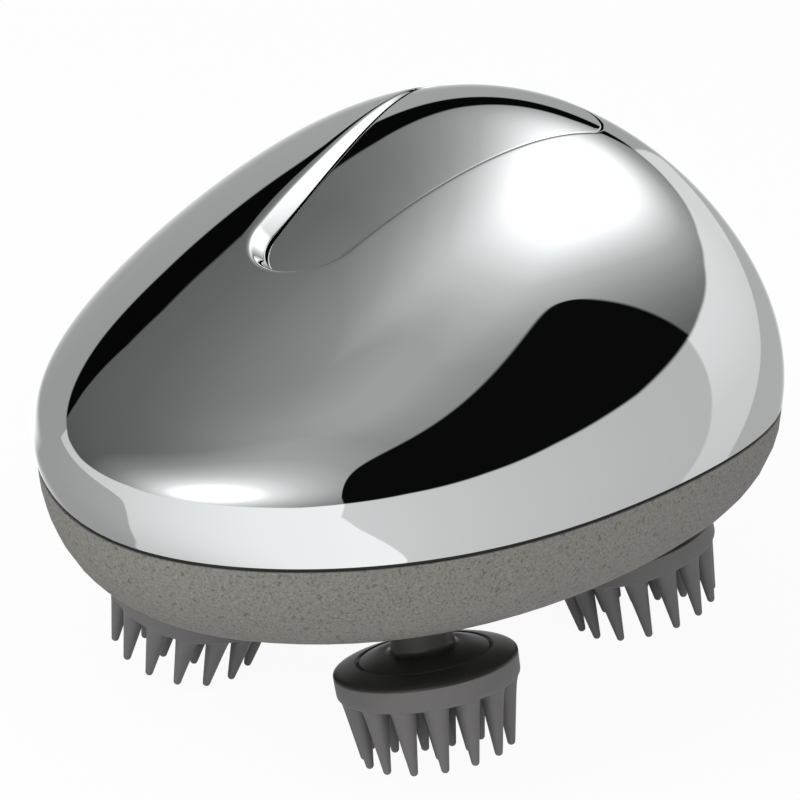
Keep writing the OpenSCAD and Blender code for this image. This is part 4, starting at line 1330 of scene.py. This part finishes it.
@dataclass
class Studio:
    """Floor, lamps, surroundings and camera."""

    body: BodyForm
    camera: CameraPlace = field(default_factory=CameraPlace)
    floor_r: float = 3000.0
    floor_white: float = 0.94
    sky_level: float = 0.55
    lamps: tuple[SquareLamp, ...] = (
        SquareLamp("key_lamp", (-500, -900, 900), 700, 9.0),
        SquareLamp("fill_lamp", (900, -300, 500), 900, 4.0),
        SquareLamp("low_lamp", (100, -900, 60), 500, 2.0),
    )

    def floor(self) -> bpy.types.Object:
        """Builds the pale floor, which takes the object's shadow.

        The rim's points are drawn in by t squared, so the rings lie closer to the
        middle. The camera sees floor_white of it as plain white and the rest as lit.
        """
        t = np.linspace(0, 1, 25)[None, :, None] ** 2
        rim = ring_of(circle(self.floor_r, 96), 0.0)[:, None]
        skin = Skin("floor")
        skin.grid(rim * np.maximum(t, 1e-4), start=Cap.FAN)
        made = skin.build()
        material, shader = new_material("pale_floor")
        tree = material.node_tree
        shader.inputs["Base Color"].default_value = (0.9, 0.9, 0.9, 1)
        shader.inputs["Roughness"].default_value = 1.0
        shader.inputs["Specular IOR Level"].default_value = 0.0
        glow = tree.nodes.new("ShaderNodeEmission")
        path = tree.nodes.new("ShaderNodeLightPath")
        share = tree.nodes.new("ShaderNodeMath")
        share.operation = "MULTIPLY"
        share.inputs[1].default_value = self.floor_white
        mix = tree.nodes.new("ShaderNodeMixShader")
        link(tree, path.outputs["Is Camera Ray"], share.inputs[0])
        link(tree, share.outputs[0], mix.inputs[0])
        link(tree, shader.outputs[0], mix.inputs[1])
        link(tree, glow.outputs[0], mix.inputs[2])
        link(tree, mix.outputs[0], tree.nodes["Material Output"].inputs["Surface"])
        made.data.materials.append(material)
        made.visible_glossy = False
        return made

    def lamp(self, lamp: SquareLamp) -> bpy.types.Object:
        """Adds a soft square lamp aimed at the object."""
        data = bpy.data.lights.new(lamp.name, "AREA")
        data.shape = "SQUARE"
        data.size = lamp.side * MM
        data.energy = lamp.power
        made = bpy.data.objects.new(lamp.name, data)
        made.location = Vector(lamp.place) * MM
        aim = made.location - Vector((0, 0, self.body.seam_z)) * MM
        made.rotation_euler = aim.to_track_quat("Z", "Y").to_euler()
        made.visible_glossy = False
        bpy.context.scene.collection.objects.link(made)
        return made

    def build(self) -> None:
        """Builds everything round the object."""
        self.floor()
        for lamp in self.lamps:
            self.lamp(lamp)
        Sky().finish(self.sky_level)
        self.camera.build(self.body)
        bpy.context.scene.view_settings.view_transform = "Standard"


# ---------------------------------------------------------------- the whole


REPLACED = {
    "top_shell": ("chrome", "body"),
    "power_key": ("chrome", "key"),
    "lower_housing": ("speckled", "body"),
    "seam_gasket": ("seam_rubber", "body"),
}
HEAD_TURNS = ((179.0, -4.0), (-17.0, 6.0), (21.0, 10.0), (180.0, 0.0))


def show(piece: bpy.types.Object, node: str, slot: str, body: str, kit: FinishKit) -> None:
    """Puts a finished piece in the place of its CAD node.

    Args:
        piece: The piece.
        node: The CAD node that it stands for.
        slot: Material slot of the record.
        body: The body that it rides on.
        kit: The finishes.
    """
    kit.dress(piece, slot)
    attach(piece, body)
    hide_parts(node)
    log.info("%s stands for %s, %d faces", piece.name, node, len(piece.data.polygons))


def dress_nodes(kit: FinishKit) -> None:
    """Gives every CAD node the finish of its material slot."""
    for part in frame["record"]["subparts"]:
        kit.dress(frame["nodes"][part["node"]], part["material_slot"])


def main() -> None:
    """Builds the finishes, the pieces and the studio."""
    logging.basicConfig(level=logging.INFO, format="%(name)s: %(message)s")
    kit = FinishKit()
    dress_nodes(kit)
    body = BodyForm()
    petal = PetalForm(body)
    built = {
        "top_shell": Shell(body, petal).build(),
        "power_key": PetalKey(body, petal).build(),
        "lower_housing": smooth_copy("lower_housing", "speckled_housing"),
        "seam_gasket": Seam(body).build(),
    }
    for node, piece in built.items():
        slot, rides_on = REPLACED[node]
        show(piece, node, slot, rides_on, kit)
    for number, (lean, pad_turn) in enumerate(HEAD_TURNS, 1):
        head = Head(number, lean, pad_turn)
        show(head.cup(), f"head_cup_{number}", "cup_black", f"head_{number}", kit)
        show(head.pad(), f"head_pad_{number}", "silicone", f"head_{number}", kit)
    Studio(body).build()


if __name__ == "__main__":
    main()
